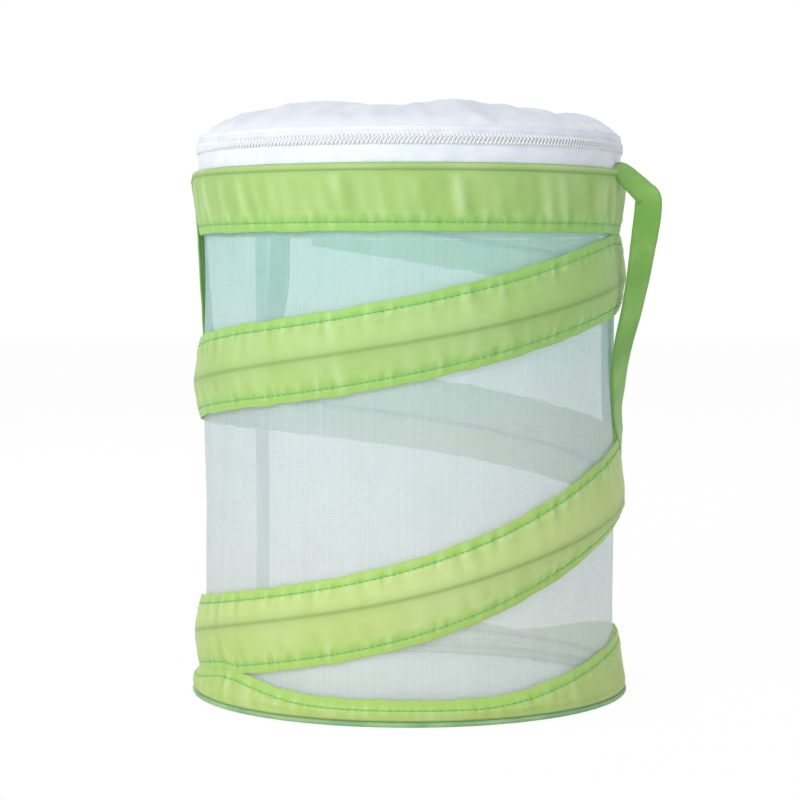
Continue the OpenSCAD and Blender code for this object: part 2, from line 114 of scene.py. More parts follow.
skyOut = skyTree.nodes.new("ShaderNodeOutputWorld")
skyMix = skyTree.nodes.new("ShaderNodeMixShader")
skyGrey, skyWhite = skyTree.nodes.new("ShaderNodeBackground"), skyTree.nodes.new("ShaderNodeBackground")
for shade, tint, strength in ((skyGrey, (0.97, 0.99, 1, 1), studio["sky"]), (skyWhite, (1, 1, 1, 1), 1)):
    shade.inputs["Color"].default_value, shade.inputs["Strength"].default_value = tint, strength
skyTree.links.new(whiteRays(skyTree), skyMix.inputs[0])
skyTree.links.new(skyGrey.outputs[0], skyMix.inputs[1])
skyTree.links.new(skyWhite.outputs[0], skyMix.inputs[2])
skyTree.links.new(skyMix.outputs[0], skyOut.inputs["Surface"])

# in metres; what the white leaves over keeps the shadow
ground = {"half": 6, "z": -0.0004, "paint": (0.93, 0.93, 0.93, 1), "rough": 0.9, "white": 0.96}
floorData = bpy.data.meshes.new("studioFloor")
floorSides = ((-1, -1), (1, -1), (1, 1), (-1, 1))
floorCorners = [(x * ground["half"], y * ground["half"], ground["z"]) for x, y in floorSides]
floorData.from_pydata(floorCorners, [], [(0, 1, 2, 3)])
studioFloor = bpy.data.objects.new("studioFloor", floorData)
scene.collection.objects.link(studioFloor)
floorPaint = bpy.data.materials.new("floorPaint")
floorPaint.use_nodes = True
floorTree = floorPaint.node_tree
floorShader = floorTree.nodes["Principled BSDF"]
floorShader.inputs["Base Color"].default_value = ground["paint"]
floorShader.inputs["Roughness"].default_value = ground["rough"]
floorGlow = floorTree.nodes.new("ShaderNodeEmission")
floorGlow.inputs["Color"].default_value, floorGlow.inputs["Strength"].default_value = (1, 1, 1, 1), 1
floorShare = floorTree.nodes.new("ShaderNodeMath")
floorShare.operation = "MULTIPLY"
floorShare.inputs[1].default_value = ground["white"]
floorTree.links.new(whiteRays(floorTree), floorShare.inputs[0])
floorMix = floorTree.nodes.new("ShaderNodeMixShader")
floorTree.links.new(floorShare.outputs[0], floorMix.inputs[0])
floorTree.links.new(floorShader.outputs[0], floorMix.inputs[1])
floorTree.links.new(floorGlow.outputs[0], floorMix.inputs[2])
floorTree.links.new(floorMix.outputs[0], floorTree.nodes["Material Output"].inputs["Surface"])
floorData.materials.append(floorPaint)
print("camera, light and floor set")


# finishes

class Finish:
    # one principled material and short ways to add nodes to it
    def __init__(self, name, rough, metal=0.0, sheen=0.0, specular=0.5):
        self.material = bpy.data.materials.new(name)
        self.material.use_nodes = True
        self.tree = self.material.node_tree
        self.shader = self.tree.nodes["Principled BSDF"]
        self.shader.inputs["Roughness"].default_value = rough
        self.shader.inputs["Metallic"].default_value = metal
        self.shader.inputs["Specular IOR Level"].default_value = specular
        self.shader.inputs["Sheen Weight"].default_value = sheen

    def put(self, value, socket):
        if hasattr(value, "is_output"):
            self.tree.links.new(value, socket)
        else:
            socket.default_value = value

    def calc(self, operation, a, b=0.0, c=0.0, clamp=False):
        node = self.tree.nodes.new("ShaderNodeMath")
        node.operation, node.use_clamp = operation, clamp
        for value, socket in zip((a, b, c), node.inputs):
            self.put(value, socket)
        return node.outputs[0]

    def mix(self, share, a, b):
        node = self.tree.nodes.new("ShaderNodeMix")
        node.data_type = "RGBA"
        self.put(share, node.inputs[0])
        self.put(a, node.inputs[6])
        self.put(b, node.inputs[7])
        return node.outputs[2]

    def fade(self, value, low, high, atLow=0.0, atHigh=1.0):
        node = self.tree.nodes.new("ShaderNodeMapRange")
        node.interpolation_type = "SMOOTHSTEP"
        for put, socket in zip((value, low, high, atLow, atHigh), node.inputs):
            self.put(put, socket)
        return node.outputs[0]

    def uv(self):
        node = self.tree.nodes.new("ShaderNodeTexCoord")
        split = self.tree.nodes.new("ShaderNodeSeparateXYZ")
        self.tree.links.new(node.outputs["UV"], split.inputs[0])
        return split.outputs[0], split.outputs[1]

    def height(self):
        node = self.tree.nodes.new("ShaderNodeTexCoord")
        split = self.tree.nodes.new("ShaderNodeSeparateXYZ")
        self.tree.links.new(node.outputs["Object"], split.inputs[0])
        return self.calc("MULTIPLY", split.outputs[2], 1000)

    def mark(self, name):
        node = self.tree.nodes.new("ShaderNodeAttribute")
        node.attribute_name = name
        return node.outputs["Fac"]

    def noise(self, perMetre, detail=2.0, stretch=(1, 1, 1), fromUv=False):
        where = self.tree.nodes.new("ShaderNodeTexCoord")
        turn = self.tree.nodes.new("ShaderNodeMapping")
        turn.inputs["Scale"].default_value = stretch
        cloud = self.tree.nodes.new("ShaderNodeTexNoise")
        cloud.inputs["Scale"].default_value = perMetre
        cloud.inputs["Detail"].default_value = detail
        self.tree.links.new(where.outputs["UV" if fromUv else "Object"], turn.inputs[0])
        self.tree.links.new(turn.outputs[0], cloud.inputs["Vector"])
        return cloud.outputs[0]

    def bump(self, height, distance, strength=1.0, before=None):
        node = self.tree.nodes.new("ShaderNodeBump")
        node.inputs["Distance"].default_value = distance * mm
        node.inputs["Strength"].default_value = strength
        self.put(height, node.inputs["Height"])
        if before is not None:
            self.tree.links.new(before, node.inputs["Normal"])
        self.tree.links.new(node.outputs[0], self.shader.inputs["Normal"])
        return node.outputs[0]

    def colour(self, value):
        self.put(value, self.shader.inputs["Base Color"])

    def lightThrough(self, cover, share):
        # thin cloth passes most of the light that falls on it: its shadow has only a share of its cover
        path = self.tree.nodes.new("ShaderNodeLightPath")
        kept = self.calc("MULTIPLY_ADD", path.outputs["Is Shadow Ray"], share - 1, 1.0)
        self.put(self.calc("MULTIPLY", cover, kept), self.shader.inputs["Alpha"])

    def thread(self, along, pitch, width, soft):
        # 1 on evenly spaced threads, 0 between them
        gap = self.calc("PINGPONG", along, pitch / 2)
        return self.fade(gap, width / 2 - soft, width / 2 + soft, 1.0, 0.0)

    def weave(self, rate):
        # the crossing waves of a plain weave, rate in radians for each millimetre
        u, v = self.uv()
        waves = [self.calc("SINE", self.calc("MULTIPLY", way, rate)) for way in (u, v)]
        return self.calc("MULTIPLY", *waves)


netting = {
    "pitch": 1.12, "thread": 0.4, "soft": 0.16,
    "clear": 0.55, "across": 0.12, "up": 0.06, "streak": 0.16, "pass": 0.12,
    # the net colours by height carry a painted tint of the bluish backdrop light seen through the net
    "high": rgb(177, 219, 214), "middle": rgb(209, 221, 225), "low": rgb(212, 221, 220),
}


def nettingFinish(name, layers):
    # white net: crossing threads over milky holes, streaky along its height, bluer towards the top in painted
    # backdrop light
    f = Finish(name, 0.6)
    u, v = f.uv()
    across = f.thread(u, netting["pitch"], netting["thread"], netting["soft"])
    up = f.thread(v, netting["pitch"], netting["thread"], netting["soft"])
    # the threads stand out in some places only
    plain = f.fade(f.noise(0.05, 2, (1, 0.7, 1), True), 0.35, 0.65, 0.25, 1.0)
    threads = f.calc("MULTIPLY_ADD", up, netting["up"], f.calc("MULTIPLY", across, netting["across"]))
    cover = f.calc("MULTIPLY_ADD", threads, plain, netting["clear"])
    grain = f.noise(0.28, 3, (1, 0.06, 1), True)
    streak = f.calc("MULTIPLY_ADD", grain, netting["streak"], -netting["streak"] / 2)
    cover = f.calc("ADD", cover, streak, clamp=True)
    if layers > 1:
        cover = f.calc("SUBTRACT", 1.0, f.calc("POWER", f.calc("SUBTRACT", 1.0, cover), layers), clamp=True)
    f.lightThrough(cover, netting["pass"])
    # painted light: bluer towards the top, where more of the bluish backdrop light shows through
    lower = f.mix(f.fade(f.height(), 40, 110), netting["low"], netting["middle"])
    f.colour(f.mix(f.fade(f.height(), 110, 205), lower, netting["high"]))
    f.bump(f.calc("MAXIMUM", across, up), 0.15, 0.5)
    return f.material


# painted light among these colours: the paler low colour and the foot colour, the fold highlight and shade,
# and the dark wire line
nylon = {
    "top": rgb(165, 204, 116), "low": rgb(197, 218, 135), "foot": rgb(184, 209, 115),
    "hemTop": rgb(155, 204, 105), "hemLow": rgb(171, 208, 103), "lowHem": 8.0, "topHem": 4.6,
    "pale": rgb(214, 236, 178), "deep": rgb(128, 178, 78), "patchy": 0.2, "foldHighlight": 0.42, "foldShade": -0.34,
    "wire": rgb(108, 148, 74), "core": 0.4, "coreWidth": 0.95, "blur": 0.2, "blurWidth": 3.2,
    "inside": rgb(218, 236, 146), "insidePale": rgb(228, 241, 168),
    "solid": 0.74, "hemSolid": 0.12, "pass": 0.55, "thick": 0.4, "weave": 9.0,
}


def nylonCover(f, doubled):
    # see-through cloth, closer where a hem doubles it
    f.lightThrough(f.calc("MULTIPLY_ADD", doubled, nylon["hemSolid"], nylon["solid"]), nylon["pass"])


def nylonClouds(f):
    # broad soft patches, longer up than round
    return f.fade(f.noise(38, 3, (1, 1, 0.5)), 0.35, 0.7)


def nylonInside():
    # the side towards the net, washed pale by the light that comes through
    f = Finish("nylonInside", 0.6, specular=0.3)
    f.colour(f.mix(nylonClouds(f), nylon["inside"], nylon["insidePale"]))
    nylonCover(f, f.mark("hem"))
    f.bump(f.noise(420, 4), 0.3, 0.45)
    return f.material


def nylonFinish():
    # thin green nylon: paler low down in painted light that shines through it, yellower at its doubled hems,
    # dark along the wire, partly painted crease shade
    f = Finish("greenNylon", 0.5, sheen=0.12, specular=0.4)
    # painted light: the cloth turns paler low down, where more light shines through it, and takes the foot
    # colour near the bottom for light reflected up from the floor
    low = f.fade(f.height(), 70, 190, 1.0, 0.0)
    cloth = f.mix(low, nylon["top"], nylon["low"])
    cloth = f.mix(f.fade(f.height(), 16, 46), nylon["foot"], cloth)
    cloth = f.mix(f.calc("MULTIPLY", nylonClouds(f), nylon["patchy"]), cloth, nylon["pale"])
    # the hems also grow paler low down in the same painted light
    hem = f.mix(low, nylon["hemTop"], nylon["hemLow"])
    doubled = f.mark("hem")
    colour = f.mix(doubled, cloth, hem)
    # painted highlight and shade: the cloth is paler on the fold ridges and deeper green in the fold hollows,
    # after the same fold pattern as the relief
    fold = f.mark("fold")
    colour = f.mix(f.calc("MULTIPLY", fold, nylon["foldHighlight"], clamp=True), colour, nylon["pale"])
    colour = f.mix(f.calc("MULTIPLY", fold, nylon["foldShade"], clamp=True), colour, nylon["deep"])

    # the dark line along a wire inside the band: partly the wire seen through the cloth, partly painted crease
    # shade beside it
    def wireShadeBell(width, share):
        away = f.calc("DIVIDE", f.mark("wireShadeGap"), width)
        bell = f.calc("EXPONENT", f.calc("MULTIPLY", f.calc("MULTIPLY", away, away), -1.0))
        return f.calc("MULTIPLY", bell, share)

    core = wireShadeBell(nylon["coreWidth"], nylon["core"])
    blur = wireShadeBell(nylon["blurWidth"], nylon["blur"])
    f.colour(f.mix(f.calc("ADD", core, blur), colour, nylon["wire"]))
    nylonCover(f, doubled)
    f.bump(f.noise(420, 4), 0.3, 0.45, f.bump(f.weave(nylon["weave"]), 0.04, 0.5))
    return f.material


def threadFinish(name, dark, pale, rough, depth):
    f = Finish(name, rough, sheen=0.2)
    f.colour(f.mix(f.noise(900, 2), dark, pale))
    f.bump(f.noise(5200, 2), depth)
    return f.material


# the edge colour is painted shade on the strap's rounded edges
strapLook = {"face": rgb(110, 165, 66), "high": rgb(134, 182, 90), "edge": rgb(104, 160, 62)}


def strapFinish():
    # folded nylon strap: edges darkened by painted shade, cloudy face, fine cross weave
    f = Finish("strapNylon", 0.48, sheen=0.15)
    face = f.mix(f.fade(f.noise(60, 3), 0.3, 0.7), strapLook["face"], strapLook["high"])
    f.colour(f.mix(f.fade(f.mark("edgeShadeGap"), 0.3, 1.7, 0.75, 0.0), face, strapLook["edge"]))
    f.bump(f.noise(500, 4), 0.3, 0.5, f.bump(f.weave(nylon["weave"]), 0.04, 0.5))
    return f.material


tapeLook = {
    "rib": 0.75, "twill": 0.9, "twillShare": 0.6, "deep": 0.05,
    "shade": rgb(226, 232, 244), "white": rgb(236, 240, 249),
}


def tapeFinish():
    # woven zip tape: fine ribs along it
    f = Finish("zipTape", 0.7, sheen=0.1)
    u, v = f.uv()
    ribs = f.calc("SINE", f.calc("MULTIPLY", v, 2 * math.pi / tapeLook["rib"]))
    twill = f.calc("SINE", f.calc("MULTIPLY", f.calc("ADD", u, v), 2 * math.pi / tapeLook["twill"]))
    f.colour(f.mix(f.fade(f.noise(120, 3), 0.3, 0.7), tapeLook["shade"], tapeLook["white"]))
    f.bump(f.calc("ADD", ribs, f.calc("MULTIPLY", twill, tapeLook["twillShare"])), tapeLook["deep"], 0.7)
    return f.material


def coilFinish():
    f = Finish("zipCoil", 0.4)
    f.colour(f.mix(f.noise(700, 2), rgb(224, 226, 231), rgb(236, 237, 241)))
    f.bump(f.noise(4000, 2), 0.03)
    return f.material


voile = {
    "pitch": 0.8, "thread": 0.36, "soft": 0.16, "solid": 0.8, "threadSolid": 0.06, "pass": 0.3,
    "single": rgb(227, 230, 241), "double": rgb(207, 213, 226), "cloudy": 0.55, "rim": rgb(236, 240, 249),
}


def voileFinish():
    # crisp white voile of the lid: fine crossing threads, cloudy where it lies double
    f = Finish("lidVoile", 0.6, sheen=0.2)
    u, v = f.uv()
    sets = [f.thread(way, voile["pitch"], voile["thread"], voile["soft"]) for way in (u, v)]
    threads = f.calc("MAXIMUM", *sets)
    clouds = f.fade(f.noise(46, 4), 0.34, 0.66)
    cloth = f.mix(f.calc("MULTIPLY", clouds, voile["cloudy"]), voile["single"], voile["double"])
    f.colour(f.mix(f.fade(f.mark("rimGap"), 1.0, 9.0, 0.85, 0.0), cloth, voile["rim"]))
    f.lightThrough(f.calc("MULTIPLY_ADD", threads, voile["threadSolid"], voile["solid"]), voile["pass"])
    f.bump(f.noise(260, 4), 0.4, 0.45, f.bump(threads, 0.06, 0.4))
    return f.material


def feltFinish(name, dark, pale):
    # close woven cloth of the floor and its binding
    f = Finish(name, 0.75, sheen=0.1)
    f.colour(f.mix(f.fade(f.noise(60, 3), 0.3, 0.7), dark, pale))
    f.bump(f.noise(350, 3), 0.25, 0.5, f.bump(f.weave(5.0), 0.1, 0.7))
    return f.material


def metalFinish(name, dark, pale, rough):
    f = Finish(name, rough, metal=1.0)
    f.colour(f.mix(f.noise(300, 4), dark, pale))
    f.bump(f.noise(1500, 3), 0.03)
    return f.material


def plasticFinish(name, dark, pale, rough):
    f = Finish(name, rough)
    f.colour(f.mix(f.noise(500, 3), dark, pale))
    f.bump(f.noise(2500, 2), 0.02)
    return f.material


finishes = {
    "netting": nettingFinish("netting", 1), "seamNet": nettingFinish("seamNet", 2),
    "nylon": nylonFinish(), "nylonInside": nylonInside(), "strap": strapFinish(), "voile": voileFinish(),
    "tape": tapeFinish(), "coil": coilFinish(),
    "thread": threadFinish("stitchThread", rgb(84, 184, 100), rgb(112, 202, 122), 0.45, 0.06),
    "tapeThread": threadFinish("tapeThread", rgb(222, 225, 232), rgb(240, 242, 247), 0.5, 0.05),
    "floor": feltFinish("floorCloth", rgb(236, 240, 242), rgb(246, 248, 249)),
    # the binding's darker teal is partly its own colour and partly painted shade along the bottom edge
    "binding": feltFinish("bindingCloth", rgb(126, 172, 128), rgb(158, 194, 140)),
    "steel": metalFinish("springSteel", rgb(96, 100, 104), rgb(142, 146, 150), 0.32),
    "sleeve": metalFinish("crimpSleeve", rgb(168, 170, 172), rgb(205, 206, 208), 0.3),
    "zinc": metalFinish("zipMetal", rgb(190, 192, 194), rgb(222, 224, 226), 0.25),
    "tip": plasticFinish("tipPlastic", rgb(34, 36, 38), rgb(52, 54, 56), 0.45),
}
print("finishes made:", len(finishes))


# mesh making

def polar(r, t, z):
    # points at radius r, t degrees round from +X and height z
    r, a, z = np.broadcast_arrays(r, np.radians(t), z)
    return np.stack([r * np.cos(a), r * np.sin(a), z], -1)


def unit(v):
    # each vector at length 1
    return v / np.linalg.norm(v, axis=-1, keepdims=True)


def roundSection(tall, wide, sides):
    # an oval of that half height and half width, as a section for a tube
    a = np.arange(sides) * 2 * math.pi / sides
    return np.stack([tall * np.sin(a), wide * np.cos(a)], -1)


def makeObject(name, points, faces, finish):
    # a smooth mesh with one finish, its place in its points
    data = bpy.data.meshes.new(name)
    data.from_pydata((np.asarray(points).reshape(-1, 3) * mm).tolist(), [], faces)
    data.materials.append(finishes[finish])
    data.shade_smooth()
    piece = bpy.data.objects.new(name, data)
    scene.collection.objects.link(piece)
    return piece


def surface(name, points, finish, uv, wrap=False, pole=False, marks=None, thick=0.0):
    # quads over a grid of points: first axis round or along, second axis across, faces out to its right;
    # wrap joins the grid's last column to its first, pole gathers the last row in one point
    nu, nv = points.shape[:2]
    rows = nv - 1 if pole else nv
    columns = nu if wrap else nu - 1
    i, j = np.meshgrid(np.arange(columns), np.arange(rows - 1), indexing="ij")
    k = (i + 1) % nu
    quads = np.stack([i * rows + j, k * rows + j, k * rows + j + 1, i * rows + j + 1], -1).reshape(-1, 4)
    corners = np.stack([uv[i, j], uv[i + 1, j], uv[i + 1, j + 1], uv[i, j + 1]], 2).reshape(-1, 2)
    faces, kept = quads.tolist(), points[:, :rows].reshape(-1, 3)
    if pole:
        kept = np.vstack([kept, points[:, -1].mean(0)])
        a = np.arange(columns)
        b = (a + 1) % nu
        tip = np.full(columns, nu * rows)
        faces += np.stack([a * rows + rows - 1, b * rows + rows - 1, tip], -1).tolist()
        middle = (uv[a, -1] + uv[a + 1, -1]) / 2
        tops = np.stack([uv[a, rows - 1], uv[a + 1, rows - 1], middle], 1)
        corners = np.vstack([corners, tops.reshape(-1, 2)])
    piece = makeObject(name, kept, faces, finish)
    piece.data.uv_layers.new(name="cloth").data.foreach_set("uv", corners.astype(np.float32).ravel())
    for label, values in (marks or {}).items():
        flat = np.broadcast_to(values, (nu, nv))[:, :rows].ravel()
        if pole:
            flat = np.append(flat, np.broadcast_to(values, (nu, nv))[0, -1])
        layer = piece.data.attributes.new(label, "FLOAT", "POINT")
        layer.data.foreach_set("value", flat.astype(np.float32))
    if thick:
        wall = piece.modifiers.new("clothThickness", "SOLIDIFY")
        wall.thickness, wall.offset = thick * mm, -1
        if finish == "nylon":
            piece.data.materials.append(finishes["nylonInside"])
            wall.material_offset = 1
    return piece


def tube(name, line, outward, up, section, finish, closed=False, marks=None):
    # a flat section of (sideways, outward) points carried along a line, with its own up and outward directions
    ring = line[:, None] + up[:, None] * section[None, :, :1] + outward[:, None] * section[None, :, 1:]
    n, m = ring.shape[:2]
    i, j = np.meshgrid(np.arange(n if closed else n - 1), np.arange(m), indexing="ij")
    k, l = (i + 1) % n, (j + 1) % m
    faces = np.stack([i * m + j, k * m + j, k * m + l, i * m + l], -1).reshape(-1, 4).tolist()
    if not closed:
        faces += [list(range(m)), [(n - 1) * m + x for x in range(m - 1, -1, -1)]]
    piece = makeObject(name, ring, faces, finish)
    if not closed:
        for cap in piece.data.polygons[-2:]:
            cap.use_smooth = False  # a flat end leaves the shading of the sides alone
    length = np.append(0, np.cumsum(np.linalg.norm(np.diff(line, axis=0), axis=1)))
    girth = np.append(0, np.cumsum(np.linalg.norm(np.diff(section, axis=0), axis=1)))
    length = np.append(length, length[-1] + (length[-1] - length[-2]))
    girth = np.append(girth, girth[-1] + np.linalg.norm(section[0] - section[-1]))
    corners = np.stack([
        np.stack([length[i], girth[j]], -1), np.stack([length[i + 1], girth[j]], -1),
        np.stack([length[i + 1], girth[j + 1]], -1), np.stack([length[i], girth[j + 1]], -1),
    ], 2).reshape(-1, 2)
    if not closed:
        corners = np.vstack([corners, np.zeros((2 * m, 2))])
    piece.data.uv_layers.new(name="cloth").data.foreach_set("uv", corners.astype(np.float32).ravel())
    for label, values in (marks or {}).items():
        layer = piece.data.attributes.new(label, "FLOAT", "POINT")
        layer.data.foreach_set("value", np.broadcast_to(values, (n, m)).astype(np.float32).ravel())
    return piece


def ripple(x, waves, height, seed):
    # sum of sines with whole numbers of waves per turn; x in degrees
    draw = np.random.default_rng(seed)
    phase, share = draw.uniform(0, 360, len(waves)), draw.uniform(0.5, 1, len(waves))
    total = sum(s * np.sin(np.radians(n * x + p)) for n, p, s in zip(waves, phase, share))
    return height * total / math.sqrt(len(waves))


def crumple(x, y, longest, shortest, count, height, seed, ridged=0.0):
    # sum of plane waves in random directions, longer ones higher; ridged turns smooth waves into folds
    draw = np.random.default_rng(seed)
    total = np.zeros(np.broadcast(x, y).shape)
    for length in np.geomspace(longest, shortest, count):
        way, phase = draw.uniform(0, 2 * math.pi, 2)
        wave = np.sin(2 * math.pi * (x * math.cos(way) + y * math.sin(way)) / length + phase)
        folded = 1 - 2 * np.abs(wave)
        total = total + (length / longest) * ((1 - ridged) * wave + ridged * folded)
    return height * total


def easing(x, low, high):
    # smooth step from 0 at low to 1 at high
    f = np.clip((x - low) / (high - low), 0, 1)
    return f * f * (3 - 2 * f)


def mound(x, at, wide, high):
    # a smooth bell of that height at that place, a share 1/e of it left at its width to either side
    return high * np.exp(-(((x - at) / wide) ** 2))


def stitches(name, line, outward, look, finish="thread"):
    # a row of small thread capsules along a line, each end tucked into the cloth
    run = np.append(0, np.cumsum(np.linalg.norm(np.diff(line, axis=0), axis=1)))
    count = int(run[-1] / look["pitch"])
    starts = (np.arange(count) + 0.5) * run[-1] / count - look["length"] / 2

    def at(s, lift):
        place = np.stack([np.interp(s, run, line[:, c]) for c in range(3)], -1)
        away = np.stack([np.interp(s, run, outward[:, c]) for c in range(3)], -1)
        return place + away * lift, away

    shares, lifts, fat = (0.0, 0.18, 0.82, 1.0), (-0.5, 0.3, 0.3, -0.5), (0.45, 1.0, 1.0, 0.45)
    sides = 6
    turn = np.arange(sides) * 2 * math.pi / sides
    rings = []
    first, last = at(starts, 0)[0], at(starts + look["length"], 0)[0]
    ahead = unit(last - first)
    for share, lift, width in zip(shares, lifts, fat):
        place, away = at(starts + share * look["length"], look["thick"] * lift)
        side = unit(np.cross(ahead, away))
        reach = look["thick"] / 2 * width
        rim = np.cos(turn)[:, None] * away[:, None] - np.sin(turn)[:, None] * side[:, None]
        rings.append(place[:, None] + reach * rim)
    points = np.stack(rings, 1).reshape(-1, 3)
    j, k = np.meshgrid(np.arange(len(shares) - 1), np.arange(sides), indexing="ij")
    beside, onward = (k + 1) % sides, (j + 1) * sides
    one = np.stack([j * sides + k, onward + k, onward + beside, j * sides + beside], -1).reshape(-1, 4)
    size = len(shares) * sides
    quads = (one[None] + (np.arange(count) * size)[:, None, None]).reshape(-1, 4)
    capA = np.arange(sides)[None] + (np.arange(count) * size)[:, None]
    capB = (size - 1 - np.arange(sides))[None] + (np.arange(count) * size)[:, None]
    return makeObject(name, points, quads.tolist() + capA.tolist() + capB.tolist(), finish)


stitchLook = {"pitch": 3.1, "length": 2.95, "thick": 0.54, "inset": 4.0}


# the cage's own lines: the spiral wire's height, the hems and the bulge of a band over the wire

cage = {
    "wallR": 95.2, "hoopR": 98.2, "topZ": 237.5, "bottomZ": 4.48, "topHemZ": 211.0,
    "hemLow": 11.2, "hemRise": 17.0, "hemFrom": 75, "hemTo": 5, "hemR": 96.6,
    "hemLeft": 6.5, "hemLeftAt": 214, "hemLeftSpread": 19, "bandAbove": 20.5, "bandBelow": 16.5,
    "lifted": 0.05,
}
spiral = {
    "r": 98.0, "d": 1.8, "from": -400, "to": 560, "lowZ": 7.74, "highZ": 234.24,
    "climbFrom": -200, "climbTo": 500, "knee": 40, "creep": 0.04, "coverR": 100.1, "round": 4.5,
    "bulges": ((50, 155, 17), (-92, 38, -2.5), (345, 50, 4.5)),  # angle, spread in degrees, height
}


def ramp(x):
    # nothing below zero and x above it, with the corner rounded off
    return (x + np.sqrt(x * x + spiral["knee"] ** 2)) / 2


def climb(t):
    # degrees of even climb done by the angle t, counted from the wire's start
    start = ramp(spiral["from"] - spiral["climbFrom"]) - ramp(spiral["from"] - spiral["climbTo"])
    return ramp(t - spiral["climbFrom"]) - ramp(t - spiral["climbTo"]) - start


def wireZ(t):
    # slow turns at both ends, an even climb between them, and bulges where the slack wall lets it stray
    t = np.asarray(t, float)
    slow = spiral["creep"] * (spiral["to"] - spiral["from"])
    rate = (spiral["highZ"] - spiral["lowZ"] - slow) / climb(spiral["to"])
    bulge = sum(mound(t, *one) for one in spiral["bulges"])
    return spiral["lowZ"] + spiral["creep"] * (t - spiral["from"]) + rate * climb(t) + bulge


def hemZ(t):
    # the bottom band is low in front, tall at the right, and rises to meet the casing at the left
    away = np.abs((np.asarray(t) + 180) % 360 - 180)
    left = (np.asarray(t) - cage["hemLeftAt"] + 180) % 360 - 180
    bump = mound(left, 0, cage["hemLeftSpread"], cage["hemLeft"])
    return cage["hemLow"] + cage["hemRise"] * (1 - easing(away, cage["hemTo"], cage["hemFrom"])) + bump


def bandBulge(gap, above=cage["bandAbove"], below=cage["bandBelow"]):
    # cloth pulled over the wire: highest at the wire, down to the hem's radius at the band's edges
    h = spiral["round"]
    reach = np.where(gap > 0, above, below)
    slope = (spiral["coverR"] - cage["hemR"]) / (np.sqrt(reach ** 2 + h * h) - h)
    return spiral["coverR"] - slope * (np.sqrt(gap ** 2 + h * h) - h)


sewnLook = {
    "double": 0.25, "doubleSoft": 0.7, "groove": -0.45, "grooveWide": 1.0, "perDegree": 1.68,
    "crease": 0.16, "creaseLong": 40, "creaseShort": 9, "foldDeep": 0.5,
    "gather": 0.8, "gatherPast": 0.8, "gatherWide": 3.2, "pull": 0.7, "pullAt": 8, "pullWide": 7.0,
}


def clothRelief(t, z, edge, seed, calm=1.0):
    # hems and folds of a sewn band: doubled edge, pulled-in stitch row, gathers off it, creases between
    hem, soft = nylon["lowHem"], sewnLook["doubleSoft"]
    doubled = sewnLook["double"] * (1 - easing(edge, hem - soft, hem + soft))
    groove = mound(edge, stitchLook["inset"], sewnLook["grooveWide"], sewnLook["groove"])
    along = t * sewnLook["perDegree"]
    creases = crumple(along * 0.9 + z * 0.5, z * 0.8, sewnLook["creaseLong"], sewnLook["creaseShort"], 8,
                      sewnLook["crease"], seed + 2, 0.6) * easing(edge, 3, 9)
    return doubled + groove + calm * (sewnLook["foldDeep"] * clothFold(t, z, edge, seed) + creases)


def clothFold(t, z, edge, seed):
    # gathers beside the stitch row and longer pulled folds that run off it, about -1 to 1
    beside = mound(edge, stitchLook["inset"] + sewnLook["gatherPast"], sewnLook["gatherWide"], 1)
    short = ripple(t, (59, 73, 89, 113, 137), 1.0, seed) * beside
    tall = ripple(t + z * 0.1, (31, 43, 57, 71), 1.0, seed + 1)
    patchy = 0.35 + 0.65 * easing(ripple(t, (5, 7, 11), 1.0, seed + 3), -0.4, 0.7)
    reach = mound(edge, sewnLook["pullAt"], sewnLook["pullWide"], 1)
    return sewnLook["gather"] * short + sewnLook["pull"] * patchy * tall * reach


def hemMark(t, lowGap, topGap, seed):
    # 1 on a doubled hem, 0 on single cloth: the lower hem is deep and uneven, the upper ends at its stitches
    deep = nylon["lowHem"] + ripple(t, (19, 29, 41, 67), 1.3, seed)
    low = 1 - easing(lowGap, deep - 1.2, deep + 1.2)
    high = 1 - easing(topGap, nylon["topHem"] - 0.5, nylon["topHem"] + 0.5)
    return np.maximum(low * (0.62 + 0.38 * (1 - easing(lowGap, 3.4, 4.6))), high)


def clothMap(points, z):
    # a flat map of a band: length along the turn and height, in millimetres
    step = np.linalg.norm(np.diff(points[:, points.shape[1] // 2], axis=0), axis=1)
    run = np.append(0, np.cumsum(step))
    return np.stack([np.broadcast_to(run[:, None], z.shape), z], -1)


def wrapped(uv, turn):
    # one more column at the end of a closed ring's map, a full turn further on
    return np.concatenate([uv, uv[:1] + np.array([turn, 0.0])], 0)


def spread(count, crowd=0.6):
    # shares from 0 to 1, closer together at both ends
    f = np.linspace(0, 1, count)
    return (1 - crowd) * f + crowd * (1 - np.cos(math.pi * f)) / 2


# net wall

wallLook = {
    "columns": 360, "rows": 118, "lowZ": 1.2, "topZ": 236.4, "sag": 0.6, "wideGap": 85,
    "flat": (0.600, 0.2365),
}


def wallSag(t, z):
    # the net hangs in between one turn of wire and the next, most where they are far apart
    bottom, top = cage["bottomZ"], cage["topZ"]
    lines = [np.full_like(t, bottom), np.full_like(t, top)]
    for turn in (t - 360, t, t + 360):
        wire = np.where(turn > spiral["to"], top, np.clip(wireZ(turn), bottom, top))
        lines.append(np.where(turn < spiral["from"], bottom, wire))
    lines = np.stack(lines, 0)
    below = np.max(np.where(lines <= z, lines, bottom), 0)
    above = np.min(np.where(lines > z, lines, top), 0)
    share = np.clip((z - below) / np.maximum(above - below, 1e-6), 0, 1)
    return wallLook["sag"] * 4 * share * (1 - share) * np.clip((above - below) / wallLook["wideGap"], 0, 1)


t = np.linspace(0, 360, wallLook["columns"], endpoint=False)[:, None]
z = np.linspace(wallLook["lowZ"], wallLook["topZ"], wallLook["rows"])[None, :]
t, z = np.broadcast_arrays(t, z)
soft = crumple(t * 1.66, z * 0.5, 60, 14, 7, 0.16, 3) * np.ones_like(t)
